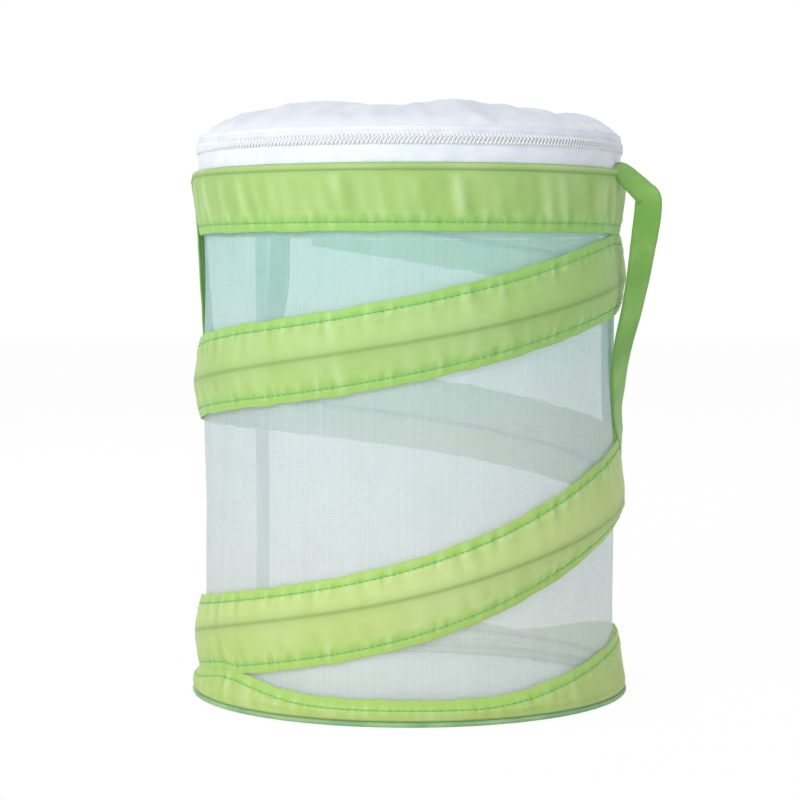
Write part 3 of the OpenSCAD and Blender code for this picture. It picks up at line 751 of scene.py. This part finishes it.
# the softness dies away where the ring closes
seamEase = easing(np.abs(((t + 180) % 360) - 180), 0, 6)
r = cage["wallR"] - wallSag(t, z) + soft * seamEase
uv = np.stack([np.radians(t) * cage["wallR"], z], -1)
netWall = surface("netWall", polar(r, t, z), "netting", wrapped(uv, 2 * math.pi * cage["wallR"]), wrap=True)
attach(netWall, "base")
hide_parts("mesh_wall")

seamLook = {"at": 140, "width": 9.0, "r": 93.4, "inside": 0.75, "crown": 0.2, "rows": 60, "columns": 7}
across = np.linspace(-0.5, 0.5, seamLook["columns"]) * math.degrees(seamLook["width"] / seamLook["r"])
upward = np.linspace(wallLook["lowZ"], wallLook["topZ"], seamLook["rows"])
t, z = np.meshgrid(seamLook["at"] + across, upward, indexing="ij")
crown = seamLook["crown"] * np.cos(np.radians((t - seamLook["at"]) * 60))
r = cage["wallR"] - wallSag(t, z) - seamLook["inside"] - crown
wallSeam = surface("wallSeam", polar(r, t, z), "seamNet", np.stack([np.radians(t) * seamLook["r"], z], -1))
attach(wallSeam, "base")
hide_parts("mesh_seam_tape")
print("net wall made")


# spiral wire and its casing

wireLook = {"step": 3.0, "sides": 10}
t = np.arange(spiral["from"], spiral["to"] + 0.1, wireLook["step"])
line = polar(spiral["r"], t, wireZ(t))
section = roundSection(spiral["d"] / 2, spiral["d"] / 2, wireLook["sides"])
spiralWire = tube("spiralWire", line, polar(1, t, 0), polar(0, t, 1), section, "steel")
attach(spiralWire, "base")
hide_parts("spiral_spring")

casing = {
    "from": -310, "to": 480, "fade": 130, "startShare": 0.05, "hemGap": 0.4, "tuck": 1.6, "least": 1.2,
    "step": 1.0, "rows": 45, "flat": (0.042, 1.42), "slack": 1.06,
    "slips": ((-125, 75, -6.0), (-20, 38, 8.2), (248, 32, -1.6), (328, 30, 2.3)),  # angle, spread, shift up
}


def slide(t):
    # how far the casing has slipped up over its wire: down in front and up at the right on its lower turn
    return sum(mound(t, *one) for one in casing["slips"])


def casingCalm(low, top):
    # relief dies away where the casing is too narrow for it
    return np.clip((top - low - 3) / 14, 0, 1)


def casingEdges(t):
    # lower and upper edge of the casing: out of the bottom hem at its start, under the top hem at its end
    grown = (t - casing["from"]) / casing["fade"]
    share = np.minimum(1, casing["startShare"] + (1 - casing["startShare"]) * grown)
    limit = cage["topHemZ"] - casing["hemGap"]
    low = np.maximum(wireZ(t) - cage["bandBelow"] + slide(t), hemZ(t) - casing["tuck"])
    low = np.minimum(low, limit - casing["least"])
    top = np.minimum(wireZ(t) + (cage["bandAbove"] + slide(t)) * share, limit)
    return low, np.maximum(top, low + casing["least"])


def casingR(t, z, low, top):
    # the casing's radius: the bulge over the wire, moved with the slip, never inside the hem, and relief on it
    gap = z - wireZ(t)
    edge = np.minimum(z - low, top - z)
    over = bandBulge(gap, cage["bandAbove"] + slide(t), cage["bandBelow"] - slide(t))
    return np.maximum(over, cage["hemR"]) + clothRelief(t, z, edge, 21) * casingCalm(low, top)


t = np.arange(casing["from"], casing["to"] + 0.1, casing["step"])[:, None]
low, top = casingEdges(t)
z = low + (top - low) * spread(casing["rows"])[None, :]
wave = ripple(t, (17, 31, 53), 0.34, 31)
calm = casingCalm(low, top)
edgeShare = np.exp(-np.minimum(z - low, top - z) / 2.5) * calm
tt = np.broadcast_to(t, z.shape)
points = polar(casingR(tt, z, low, top), tt, z + wave * edgeShare)
# the wire mark places the dark line along the wire, partly painted crease shade
marks = {"hem": hemMark(tt, z - low, top - z, 33), "wireShadeGap": z - wireZ(tt),
         # the fold mark carries the painted highlight and shade of the folds
         "fold": clothFold(tt, z, np.minimum(z - low, top - z), 21) * calm}
uv = clothMap(points, z)
spiralCasing = surface("spiralCasing", points, "nylon", uv, marks=marks, thick=nylon["thick"])
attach(spiralCasing, "base")
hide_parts("spiral_band")

casingStitches = []
for name, end, sign in (("casingLowStitches", 0, 1), ("casingTopStitches", 1, -1)):
    s = np.arange(casing["from"] + 6, casing["to"] - 1, 0.5)
    low, top = casingEdges(s)
    tall = (top - low) > 2.4 * stitchLook["inset"]
    s, low, top = s[tall], low[tall], top[tall]
    zs = (low, top)[end] + sign * stitchLook["inset"]
    line = polar(casingR(s, zs, low, top) + cage["lifted"], s, zs)
    row = stitches(name, line, polar(1, s, 0), stitchLook)
    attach(row, "base")
    casingStitches.append(row)
low, top = casingEdges(t)


# bottom band, floor and binding

bottomLook = {
    "columns": 360, "rows": 30, "lowZ": 1.75, "coverR": 100.7, "shoulderZ": 6.5,
    "lineZ": 2.25, "lineThin": 6.0, "mapR": 98.0, "flat": (0.62, 0.026), "slack": 1.03, "far": 60.0,
    "curve": 1.15, "tuck": 1.2, "tuckTall": 1.5, "overWire": -0.15, "smoothTall": 3,
}


def firstTurn(t):
    # height of the wire inside the bottom band, and how much of it shows, from nothing at its end
    start = spiral["from"] + 360
    return wireZ(np.where(t < start, t, t - 360)), np.where(t < start, 1.0, easing(t, start, start + 45))


def bottomR(t, z):
    # out over the hoop at the bottom, drawn in to the net at the hem, lifted where the wire lies inside it
    hem = hemZ(t)
    taper = np.clip((z - bottomLook["shoulderZ"]) / np.maximum(hem - bottomLook["shoulderZ"], 1), 0, 1)
    upTo = bottomLook["lowZ"] + bottomLook["tuckTall"]
    tuck = bottomLook["tuck"] * (1 - easing(z, bottomLook["lowZ"], upTo))
    drawnIn = (cage["hemR"] - bottomLook["coverR"]) * taper ** bottomLook["curve"]
    base = bottomLook["coverR"] + drawnIn - tuck
    wire, begun = firstTurn(t)
    return base + begun * np.maximum(0, bandBulge(z - wire) + bottomLook["overWire"] - base)


def bottomRelief(t, z):
    # the hem's relief, smooth at the very bottom
    body = clothRelief(t, z, np.maximum(hemZ(t) - z, 0), 41, 0.9)
    upTo = bottomLook["lowZ"] + bottomLook["smoothTall"]
    return body * easing(z, bottomLook["lowZ"], upTo) * bottomCalm(t)


def bottomCalm(t):
    # less relief where the band is low
    return np.clip((hemZ(t) - 4) / 8, 0.35, 1)


t = np.linspace(-180, 180, bottomLook["columns"], endpoint=False)[:, None]
z = bottomLook["lowZ"] + (hemZ(t) - bottomLook["lowZ"]) * spread(bottomLook["rows"], 0.4)[None, :]
tt = np.broadcast_to(t, z.shape)
wave = ripple(tt, (17, 31, 53), 0.3, 47) * np.exp(-(hemZ(tt) - z) / 2.5)
points = polar(bottomR(tt, z) + bottomRelief(tt, z), tt, z + wave)
wire, begun = firstTurn(tt)
# dark lines at the first turn of wire and at the hoop: partly the wire seen through the cloth, partly painted
# shade, the hoop line where the band tucks under
wireShadeGap = np.abs(z - wire) + 12 * (1 - begun)
hoopShadeGap = np.abs(z - bottomLook["lineZ"]) * bottomLook["lineThin"]
marks = {"hem": hemMark(tt, np.full_like(z, bottomLook["far"]), hemZ(tt) - z, 49),
         # the fold mark carries the painted highlight and shade of the folds
         "wireShadeGap": np.minimum(wireShadeGap, hoopShadeGap), "fold": clothFold(tt, z, hemZ(tt) - z, 41) * bottomCalm(tt)}
bottomTurn = 2 * math.pi * bottomLook["mapR"]
uv = wrapped(np.stack([np.radians(tt) * bottomLook["mapR"], z], -1), bottomTurn)
bottomCover = surface("bottomCover", points, "nylon", uv, wrap=True, marks=marks, thick=nylon["thick"])
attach(bottomCover, "base")
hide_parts("bottom_band")

s = np.arange(-180, 180.1, 0.5)
zs = hemZ(s) - np.minimum(stitchLook["inset"], (hemZ(s) - 3) * 0.5)
line = polar(bottomR(s, zs) + bottomRelief(s, zs) + cage["lifted"], s, zs)
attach(stitches("bottomStitches", line, polar(1, s, 0), stitchLook), "base")

floorLook = {"r": 98.6, "rows": 40, "columns": 180, "z": 0.7, "thick": 0.5, "flat": (0.1972, 0.1972)}
t = np.linspace(0, 360, floorLook["columns"], endpoint=False)[:, None]
rr = floorLook["r"] * (1 - np.linspace(0, 1, floorLook["rows"]))[None, :]
x, y = rr * np.cos(np.radians(t)), rr * np.sin(np.radians(t))
relief = crumple(x, y, 70, 12, 8, 0.14, 55, 0.4) * easing(floorLook["r"] - rr, 0, 10)
points = np.stack([x, y, floorLook["z"] + relief], -1)
uv = wrapped(np.stack([x, y], -1), 0)
floorCloth = surface("floorCloth", points, "floor", uv, wrap=True, pole=True, thick=floorLook["thick"])
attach(floorCloth, "base")
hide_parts("floor_panel")

bindingLook = {"r": 99.95, "z": 1.05, "wide": 1.15, "tall": 1.05, "sides": 14}
t = np.arange(0, 360, 1.0)
puffed = roundSection(bindingLook["tall"], bindingLook["wide"], bindingLook["sides"])
line = polar(bindingLook["r"] + ripple(t, (53, 71, 97), 0.1, 61), t, bindingLook["z"] + 0 * t)
floorBinding = tube("floorBinding", line, polar(1, t, 0), polar(0, t, 1), puffed, "binding", closed=True)
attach(floorBinding, "base")
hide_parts("floor_binding")
print("bottom made")


# top band

topLook = {
    "columns": 480, "rows": 46, "roofRows": 9, "from": 200, "coverR": 100.2, "hoopTall": 2.45,
    "roofTurn": 105, "lip": 0.4, "lipZ": 237.2, "groove": 0.3, "grooveZ": 236.8,
    "mapR": 99.0, "mapOut": 101, "flat": (0.633, 0.033), "far": 60.0,
    "curve": 1.6, "overWire": -0.4, "gather": 0.42, "lineThin": 2.2,
}


def topWallR(t, z):
    # widest over the hoop, drawn in to the net at the lower hem, lifted by the last turn of wire
    f = np.clip((z - cage["topHemZ"]) / (cage["topZ"] - cage["topHemZ"]), 0, 1)
    taper = cage["hemR"] + (topLook["coverR"] - cage["hemR"]) * (1 - (1 - f) ** topLook["curve"])
    last = np.minimum(np.where(t < topLook["from"], t + 360, t), spiral["to"])
    lip = topLook["lip"] * easing(z, topLook["lipZ"] - 0.5, topLook["lipZ"] + 0.5)
    groove = mound(z, topLook["grooveZ"], 0.6, topLook["groove"])
    return np.maximum(taper, bandBulge(z - wireZ(last)) + topLook["overWire"]) + lip - groove


def topRelief(t, z):
    # the hem's relief, and gathers that run up the whole band
    edge = z - cage["topHemZ"]
    body = clothRelief(t, z, edge, 71, 0.85) + topLook["gather"] * upright(t, edge)
    return body * easing(topLook["grooveZ"] + 0.6 - z, 0, 5)


def upright(t, edge):
    # slightly slanting gathers, about -1 to 1
    fine = ripple(t + 0.12 * edge, (37, 47, 59, 73), 1.0, 75) * easing(edge, 2, 8)
    broad = ripple(t - 0.2 * edge, (17, 23, 31), 1.0, 77) * easing(edge, 3, 12)
    return 0.6 * fine + 0.6 * broad


t = topLook["from"] + np.linspace(0, 360, topLook["columns"], endpoint=False)[:, None]
zWall = cage["topHemZ"] + (cage["topZ"] - cage["topHemZ"]) * spread(topLook["rows"], 0.3)[None, :]
tt = np.broadcast_to(t, (topLook["columns"], topLook["rows"]))
zz = np.broadcast_to(zWall, tt.shape)
rWall = topWallR(tt % 360, zz) + topRelief(tt, zz)
wave = ripple(tt, (17, 31, 53), 0.3, 73) * np.exp(-(zz - cage["topHemZ"]) / 2.5)
turn = np.radians(np.linspace(0, topLook["roofTurn"], topLook["roofRows"] + 1)[1:])[None, :]
reach = rWall[:, -1:] - cage["hoopR"]
rRoof = cage["hoopR"] + reach * np.cos(turn)
zRoof = cage["topZ"] + topLook["hoopTall"] * np.sin(turn) + 0 * t
rAll, zAll = np.concatenate([rWall, rRoof], 1), np.concatenate([zz + wave, zRoof], 1)
ta = np.broadcast_to(t, zAll.shape)
edge = zAll - cage["topHemZ"]
# the folds carry the painted highlight and shade of the gathers into the cloth's colour
folds = clothFold(ta, zAll, edge, 71) + upright(ta, edge)
marks = {"hem": hemMark(ta, edge, np.full_like(zAll, topLook["far"]), 79),
         # a dark line at the groove under the lip: painted shade in the groove over the top hoop inside
         "wireShadeGap": (zAll - topLook["grooveZ"]) * topLook["lineThin"],
         "fold": folds * easing(topLook["grooveZ"] - zAll, 0, 6)}
uv = np.stack([np.radians(ta) * topLook["mapR"], zAll + np.maximum(0, topLook["mapOut"] - rAll)], -1)
uv = wrapped(uv, 2 * math.pi * topLook["mapR"])
points = polar(rAll, ta, zAll)
topCover = surface("topCover", points, "nylon", uv, wrap=True, marks=marks, thick=nylon["thick"])
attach(topCover, "top")
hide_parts("top_band")

s = np.arange(topLook["from"], topLook["from"] + 360.1, 0.5)
zs = cage["topHemZ"] + stitchLook["inset"] + 0 * s
line = polar(topWallR(s % 360, zs) + topRelief(s, zs) + cage["lifted"], s, zs)
topStitches = stitches("topStitches", line, polar(1, s, 0), stitchLook)
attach(topStitches, "top")
print("top band made")


# zip

zipLook = {
    "r": 97.35, "lowZ": 239.7, "lowerTop": 249.97, "upperLow": 249.99, "upperTop": 255.6, "thick": 0.5,
    "coilR": 97.6, "coilDeep": 0.24, "coilTall": 0.95, "wire": 0.54, "pitch": 1.9,
    "middleZ": 249.98, "half": 0.98,
    "foldFrom": 115.2, "foldTo": 424.8, "backFrom": 65.2, "backTo": 114.8, "from": 104.2, "to": 435.8,
    "rows": 12, "loopParts": 14, "sides": 5, "bow": 0.16,
}
lowerSpan, upperSpan = (zipLook["lowZ"], zipLook["lowerTop"]), (zipLook["upperLow"], zipLook["upperTop"])
foldSpan, backSpan = (zipLook["foldFrom"], zipLook["foldTo"]), (zipLook["backFrom"], zipLook["backTo"])


def zipTape(name, span, turn, body, replaced, seed, closed=False):
    # a band of tape on the wall's line, slightly wavy between its stitches, with a column for each degree
    (low, high), (start, stop) = span, turn
    count = int(stop - start) + (0 if closed else 1)
    t = np.linspace(start, stop, count, endpoint=not closed)[:, None]
    z = np.linspace(low, high, zipLook["rows"])[None, :] + 0 * t
    tt = np.broadcast_to(t, z.shape)
    bow = ripple(tt, (23, 31, 43, 59), zipLook["bow"], seed) * np.sin(np.pi * (z - low) / (high - low))
    points = polar(zipLook["r"] + bow, tt, z)
    uv = np.stack([np.radians(tt) * zipLook["r"], z], -1)
    uv = wrapped(uv, 2 * math.pi * zipLook["r"]) if closed else uv
    tape = surface(name, points, "tape", uv, wrap=closed, thick=zipLook["thick"])
    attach(tape, body)
    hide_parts(replaced)


def zipCoil(name, turn, way, body, replaced):
    # one thread wound in flat loops along the tape's edge; the loops of the two halves are half a pitch apart
    start, stop = turn
    turns = math.radians(stop - start) * zipLook["coilR"] / zipLook["pitch"]
    a = np.linspace(0, 2 * math.pi * turns, int(turns * zipLook["loopParts"]) + 1)
    shift = 0.0 if way > 0 else math.degrees(0.5 * zipLook["pitch"] / zipLook["coilR"])
    t = start + (stop - start) * a / (2 * math.pi * turns) + shift
    z = zipLook["middleZ"] - way * zipLook["half"] + way * zipLook["coilTall"] * np.sin(a)
    line = polar(zipLook["coilR"] + zipLook["coilDeep"] * np.cos(a), t, z)
    ahead = unit(np.gradient(line, axis=0))
    side = unit(np.cross(polar(1, t, 0), ahead))
    out = np.cross(ahead, side)
    section = roundSection(zipLook["wire"], zipLook["wire"], zipLook["sides"])
    coil = tube(name, line, out, side, section, "coil")
    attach(coil, body)
    if replaced:
        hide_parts(replaced)


zipTape("lowerTape", lowerSpan, (0, 360), "top", "zipper_lower_tape", 81, closed=True)
zipTape("upperTape", upperSpan, foldSpan, "lid", "zipper_upper_tape", 83)
zipTape("backTape", upperSpan, backSpan, "top", "zipper_back_tape", 85)
zipCoil("lowerCoil", (zipLook["from"], zipLook["to"]), 1, "top", "zipper_lower_coil")
zipCoil("upperCoil", foldSpan, -1, "lid", "zipper_upper_coil")
zipCoil("backCoilLeft", (zipLook["from"], zipLook["backTo"]), -1, "top", "zipper_back_coil")
zipCoil("backCoilRight", (zipLook["backFrom"], zipLook["to"] - 360), -1, "top", None)

tapeStitch = {"pitch": 1.9, "length": 1.35, "thick": 0.36, "z": 253.6}
for name, turn, body in (("upperTapeStitches", foldSpan, "lid"), ("backTapeStitches", backSpan, "top")):
    s = np.arange(turn[0] + 0.5, turn[1] - 0.5, 0.5)
    line = polar(zipLook["r"] + cage["lifted"], s, tapeStitch["z"])
    row = stitches(name, line, polar(1, s, 0), tapeStitch, "tapeThread")
    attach(row, body)
print("zip made")


# lid

lidLook = {
    "r": 97.2, "z": 255.0, "rise": 12.4, "power": 9.0, "lean": 2.0, "columns": 320, "rows": 96,
    "foldY": 0.0880, "foldZ": 0.262, "foldBehind": 0.001, "foldBefore": 0.003,  # the hinge line, in metres
    "fold": 0.55, "crease": 0.16, "puff": 1.1, "pleat": 0.8,
    # place across and along, spread across and along, height
    "humps": ((-70, 0, 16, 60, 0.8), (-37, -6, 17, 60, 3.6), (-8, 0, 11, 70, -1.0), (19, -4, 15, 60, 4.8),
              (50, 0, 18, 70, -1.4), (72, 0, 18, 70, -1.6)),
}


def lidPoints():
    # a puffed dome: flat top, steep sides, pleats at its sewn rim, broad humps and soft folds of loose voile
    t = np.linspace(0, 360, lidLook["columns"], endpoint=False)[:, None]
    f = np.sin(np.linspace(math.pi / 2, 0, lidLook["rows"]))[None, :]
    x, y = lidLook["r"] * f * np.cos(np.radians(t)), lidLook["r"] * f * np.sin(np.radians(t))
    dome = lidLook["rise"] * (1 - f ** (lidLook["power"] + lidLook["lean"] * x / lidLook["r"]))
    free = easing(1 - f, 0.0, 0.08)
    humps = sum(mound(x, atX, wideX, high) * mound(y, atY, wideY, 1)
                for atX, atY, wideX, wideY, high in lidLook["humps"])
    folds = crumple(x, y, 52, 19, 6, lidLook["fold"], 91, 0.6)
    folds = folds + crumple(x, y, 15, 7, 5, lidLook["crease"], 92, 0.4)
    puffs = ripple(t, (9, 13, 19, 25), lidLook["puff"], 95) * mound(1 - f, 0.14, 0.1, 1)
    pleats = ripple(t, (19, 27, 37, 47), lidLook["pleat"], 93) * mound(1 - f, 0.04, 0.045, 1)
    z = lidLook["z"] + dome + (humps + folds + puffs) * free
    out = 1 + pleats / lidLook["r"] * easing(1 - f, 0.0, 0.02)
    return np.stack([x * out, y * out, np.broadcast_to(z, x.shape)], -1), x, y, lidLook["r"] * (1 - f)


points, x, y, rimGap = lidPoints()
uv = wrapped(np.stack([x, y], -1), 0)
lidCloth = surface("lidCloth", points, "voile", uv, wrap=True, pole=True, marks={"rimGap": rimGap})
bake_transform(lidCloth)
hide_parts("lid_panel", "lid_back_panel")


# handles

strapCut = {
    "wide": 12.5, "thick": 1.3, "span": 33.0, "pivotOut": 97.175, "pivotZ": 242.18, "turn": 3.0,
    "rightDrop": 131.0, "leftDrop": 105.0, "rightAt": 0, "leftAt": 149,
    "parts": 14, "sides": 28, "loose": 0.16, "sewn": 3, "leaveDown": 3.9, "blendFrom": -5.6, "blendTo": -3.6,
}


def routes():
    # stations along the hinge line, out from it, down from it, and their twist: sewn on the rim, over its
    # edge, down and round, and back up to the rim
    h, rd, ld = strapCut["span"], strapCut["rightDrop"], strapCut["leftDrop"]
    leave = strapCut["leaveDown"]
    sewn = [(h - 0.2, -5.6, 1.4), (h + 0.3, -4.2, 1.3), (h + 0.9, -2.6, 2.3), (h + 1.4, -1.0, leave)]
    near = [(*place, twist) for place, twist in zip(sewn, (-18, -22, -28, -32))]
    far = [(-along, out, down, 0) for along, out, down in sewn]
    right = near + [
        (h + 1.6, 1.2, 6.2, -34), (h + 1.6, 4.5, 9.4, -36), (h + 1.5, 7.6, 12.4, -40),
        (h + 1.5, 9.8, 15.6, -60), (h + 1.4, 9.7, 22, -66), (h + 1, 8.5, 31, -60), (h, 7.0, 42, -49),
        (h - 2, 4.0, 61, -38),
        (h - 7, -1.4, 88, -28), (h - 16, -1.8, 112, -14), (h - 27, 0.6, rd - 5, -5), (18 - h, 0.8, rd, 0),
        (1 - h, -1.3, rd - 12, 0), (-h - 2, -1.9, rd - 36, 0), (-h - 2, -1.9, 60, 0), (-h - 1, -0.9, 25, 0),
        (-h - 1, -0.6, 11, 0), (-h - 1.2, -0.7, 6.6, 0),
    ] + far[::-1]
    half = far + [
        (-h - 1.2, -0.5, 6.6, 0), (-h - 0.8, -0.8, 11, 0), (-h - 0.4, -1.4, 17, 0), (-h, -2.4, 27, 0),
        (2 - h, -3.0, 56, 0), (8 - h, -0.6, 80, 0), (14 - h, 2.5, ld - 11, 0),
    ]
    left = half + [(0, 5.3, ld, 0)] + [(-along, *rest) for along, *rest in half[::-1]]
    return np.array(right, float), np.array(left, float)


def smoothRoute(p, parts):
    # a curve through every station, turning evenly from one to the next
    q = np.vstack([p[:1], p, p[-1:]])
    u = np.linspace(0, 1, parts, endpoint=False)[None, :, None]
    a, b, c, d = (q[k:len(q) - 3 + k][:, None] for k in range(4))
    square, cube = 2 * a - 5 * b + 4 * c - d, 3 * b - a - 3 * c + d
    curve = (2 * b + (c - a) * u + square * u ** 2 + cube * u ** 3) / 2
    return np.vstack([curve.reshape(-1, p.shape[1]), p[-1:]])


def strapSection():
    # a strip folded to three layers: nearly flat face, round edges, a low ridge along each edge
    a = np.linspace(0, 2 * math.pi, strapCut["sides"], endpoint=False)
    x = strapCut["wide"] / 2 * np.sign(np.cos(a)) * np.abs(np.cos(a)) ** 0.55
    swell = 1 + mound(np.abs(x), strapCut["wide"] / 2 - 1.4, 0.9, 0.22)
    y = strapCut["thick"] / 2 * np.sign(np.sin(a)) * np.abs(np.sin(a)) ** 0.35 * swell
    return np.stack([x, -y], -1)


def strap(side, route, at, seed):
    # the strip swept along its route; the sewn ends bend between the rim and the hanging strap
    path = smoothRoute(route, strapCut["parts"])
    place = np.stack([path[:, 0], strapCut["pivotOut"] + path[:, 1], strapCut["pivotZ"] - path[:, 2]], -1)
    ahead = unit(np.gradient(place, axis=0))
    level = unit(place * np.array([1, 1, 0]))
    face = unit(level * (strapCut["pivotZ"] - place[:, 2:]) + np.array([0, 0, strapCut["turn"]]))
    flat = unit(np.cross(ahead, face))
    lifted = unit(np.cross(flat, ahead))
    twist = np.radians(path[:, 3:])
    across = flat * np.cos(twist) + lifted * np.sin(twist)
    normal = np.cross(across, ahead)
    spin = math.radians(at - 90)
    c, s = math.cos(spin), math.sin(spin)
    turn = np.array([[c, s, 0], [-s, c, 0], [0, 0, 1]])
    place, across, normal = place @ turn, across @ turn, normal @ turn
    way = np.linspace(0, 360, len(place))
    loose = (ripple(way, (9, 14, 23, 37), strapCut["loose"], seed) * np.sin(np.radians(way / 2)))[:, None]
    place = place + normal * loose
    section = strapSection()
    # the edge mark places the painted shade along the strap's edges
    marks = {"edgeShadeGap": (strapCut["wide"] / 2 - np.abs(section[:, 0]))[None, :]}
    cut, last = strapCut["sewn"] * strapCut["parts"], len(place)
    made = []
    for label, rows in ((side + "Strap", slice(cut, last - cut)), (side + "TabRight", slice(0, cut + 1)),
                        (side + "TabLeft", slice(last - cut - 1, last))):
        made.append(tube(label, place[rows], normal[rows], across[rows], section, "strap", marks=marks))
    outward = polar(1, at, 0)
    for tab in made[1:]:
        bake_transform(tab)
    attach(made[0], side + "_strap")
    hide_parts(side + "_handle")
    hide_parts(side + "_handle_tabs")
    return made[0]


rightRoute, leftRoute = routes()
rightStrap = strap("right", rightRoute, strapCut["rightAt"], 101)
leftStrap = strap("left", leftRoute, strapCut["leftAt"], 103)
print("handles made")


# the wall, top band and strap pieces each get a mesh of their own

fold = {"keep": 0.12, "strapKeep": 0.16, "topZ": 239.4}
strapTop = strapCut["pivotZ"] - strapCut["leaveDown"]
wallPieces = (netWall, wallSeam, spiralWire, spiralCasing, *casingStitches)
for pieces, anchorZ, keep in ((wallPieces, 0, fold["keep"]),
                              ((topCover, topStitches), fold["topZ"], fold["keep"]),
                              ((rightStrap, leftStrap), strapTop, fold["strapKeep"])):
    for piece in pieces:
        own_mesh(piece)


# the hard parts keep their CAD shape and get their finish

hardFinishes = {
    "bottom_hoop": "steel", "top_hoop": "steel", "bottom_hoop_ferrule": "sleeve",
    "top_hoop_ferrule": "sleeve", "spiral_lower_tip": "tip", "spiral_upper_tip": "tip",
    "zipper_start_stop": "zinc", "zipper_end_stop": "zinc", "slider_body": "zinc", "slider_bridge": "zinc",
    "pull_tab": "zinc",
}
for name, finish in hardFinishes.items():
    nodes[name].data.materials.clear()
    nodes[name].data.materials.append(finishes[finish])
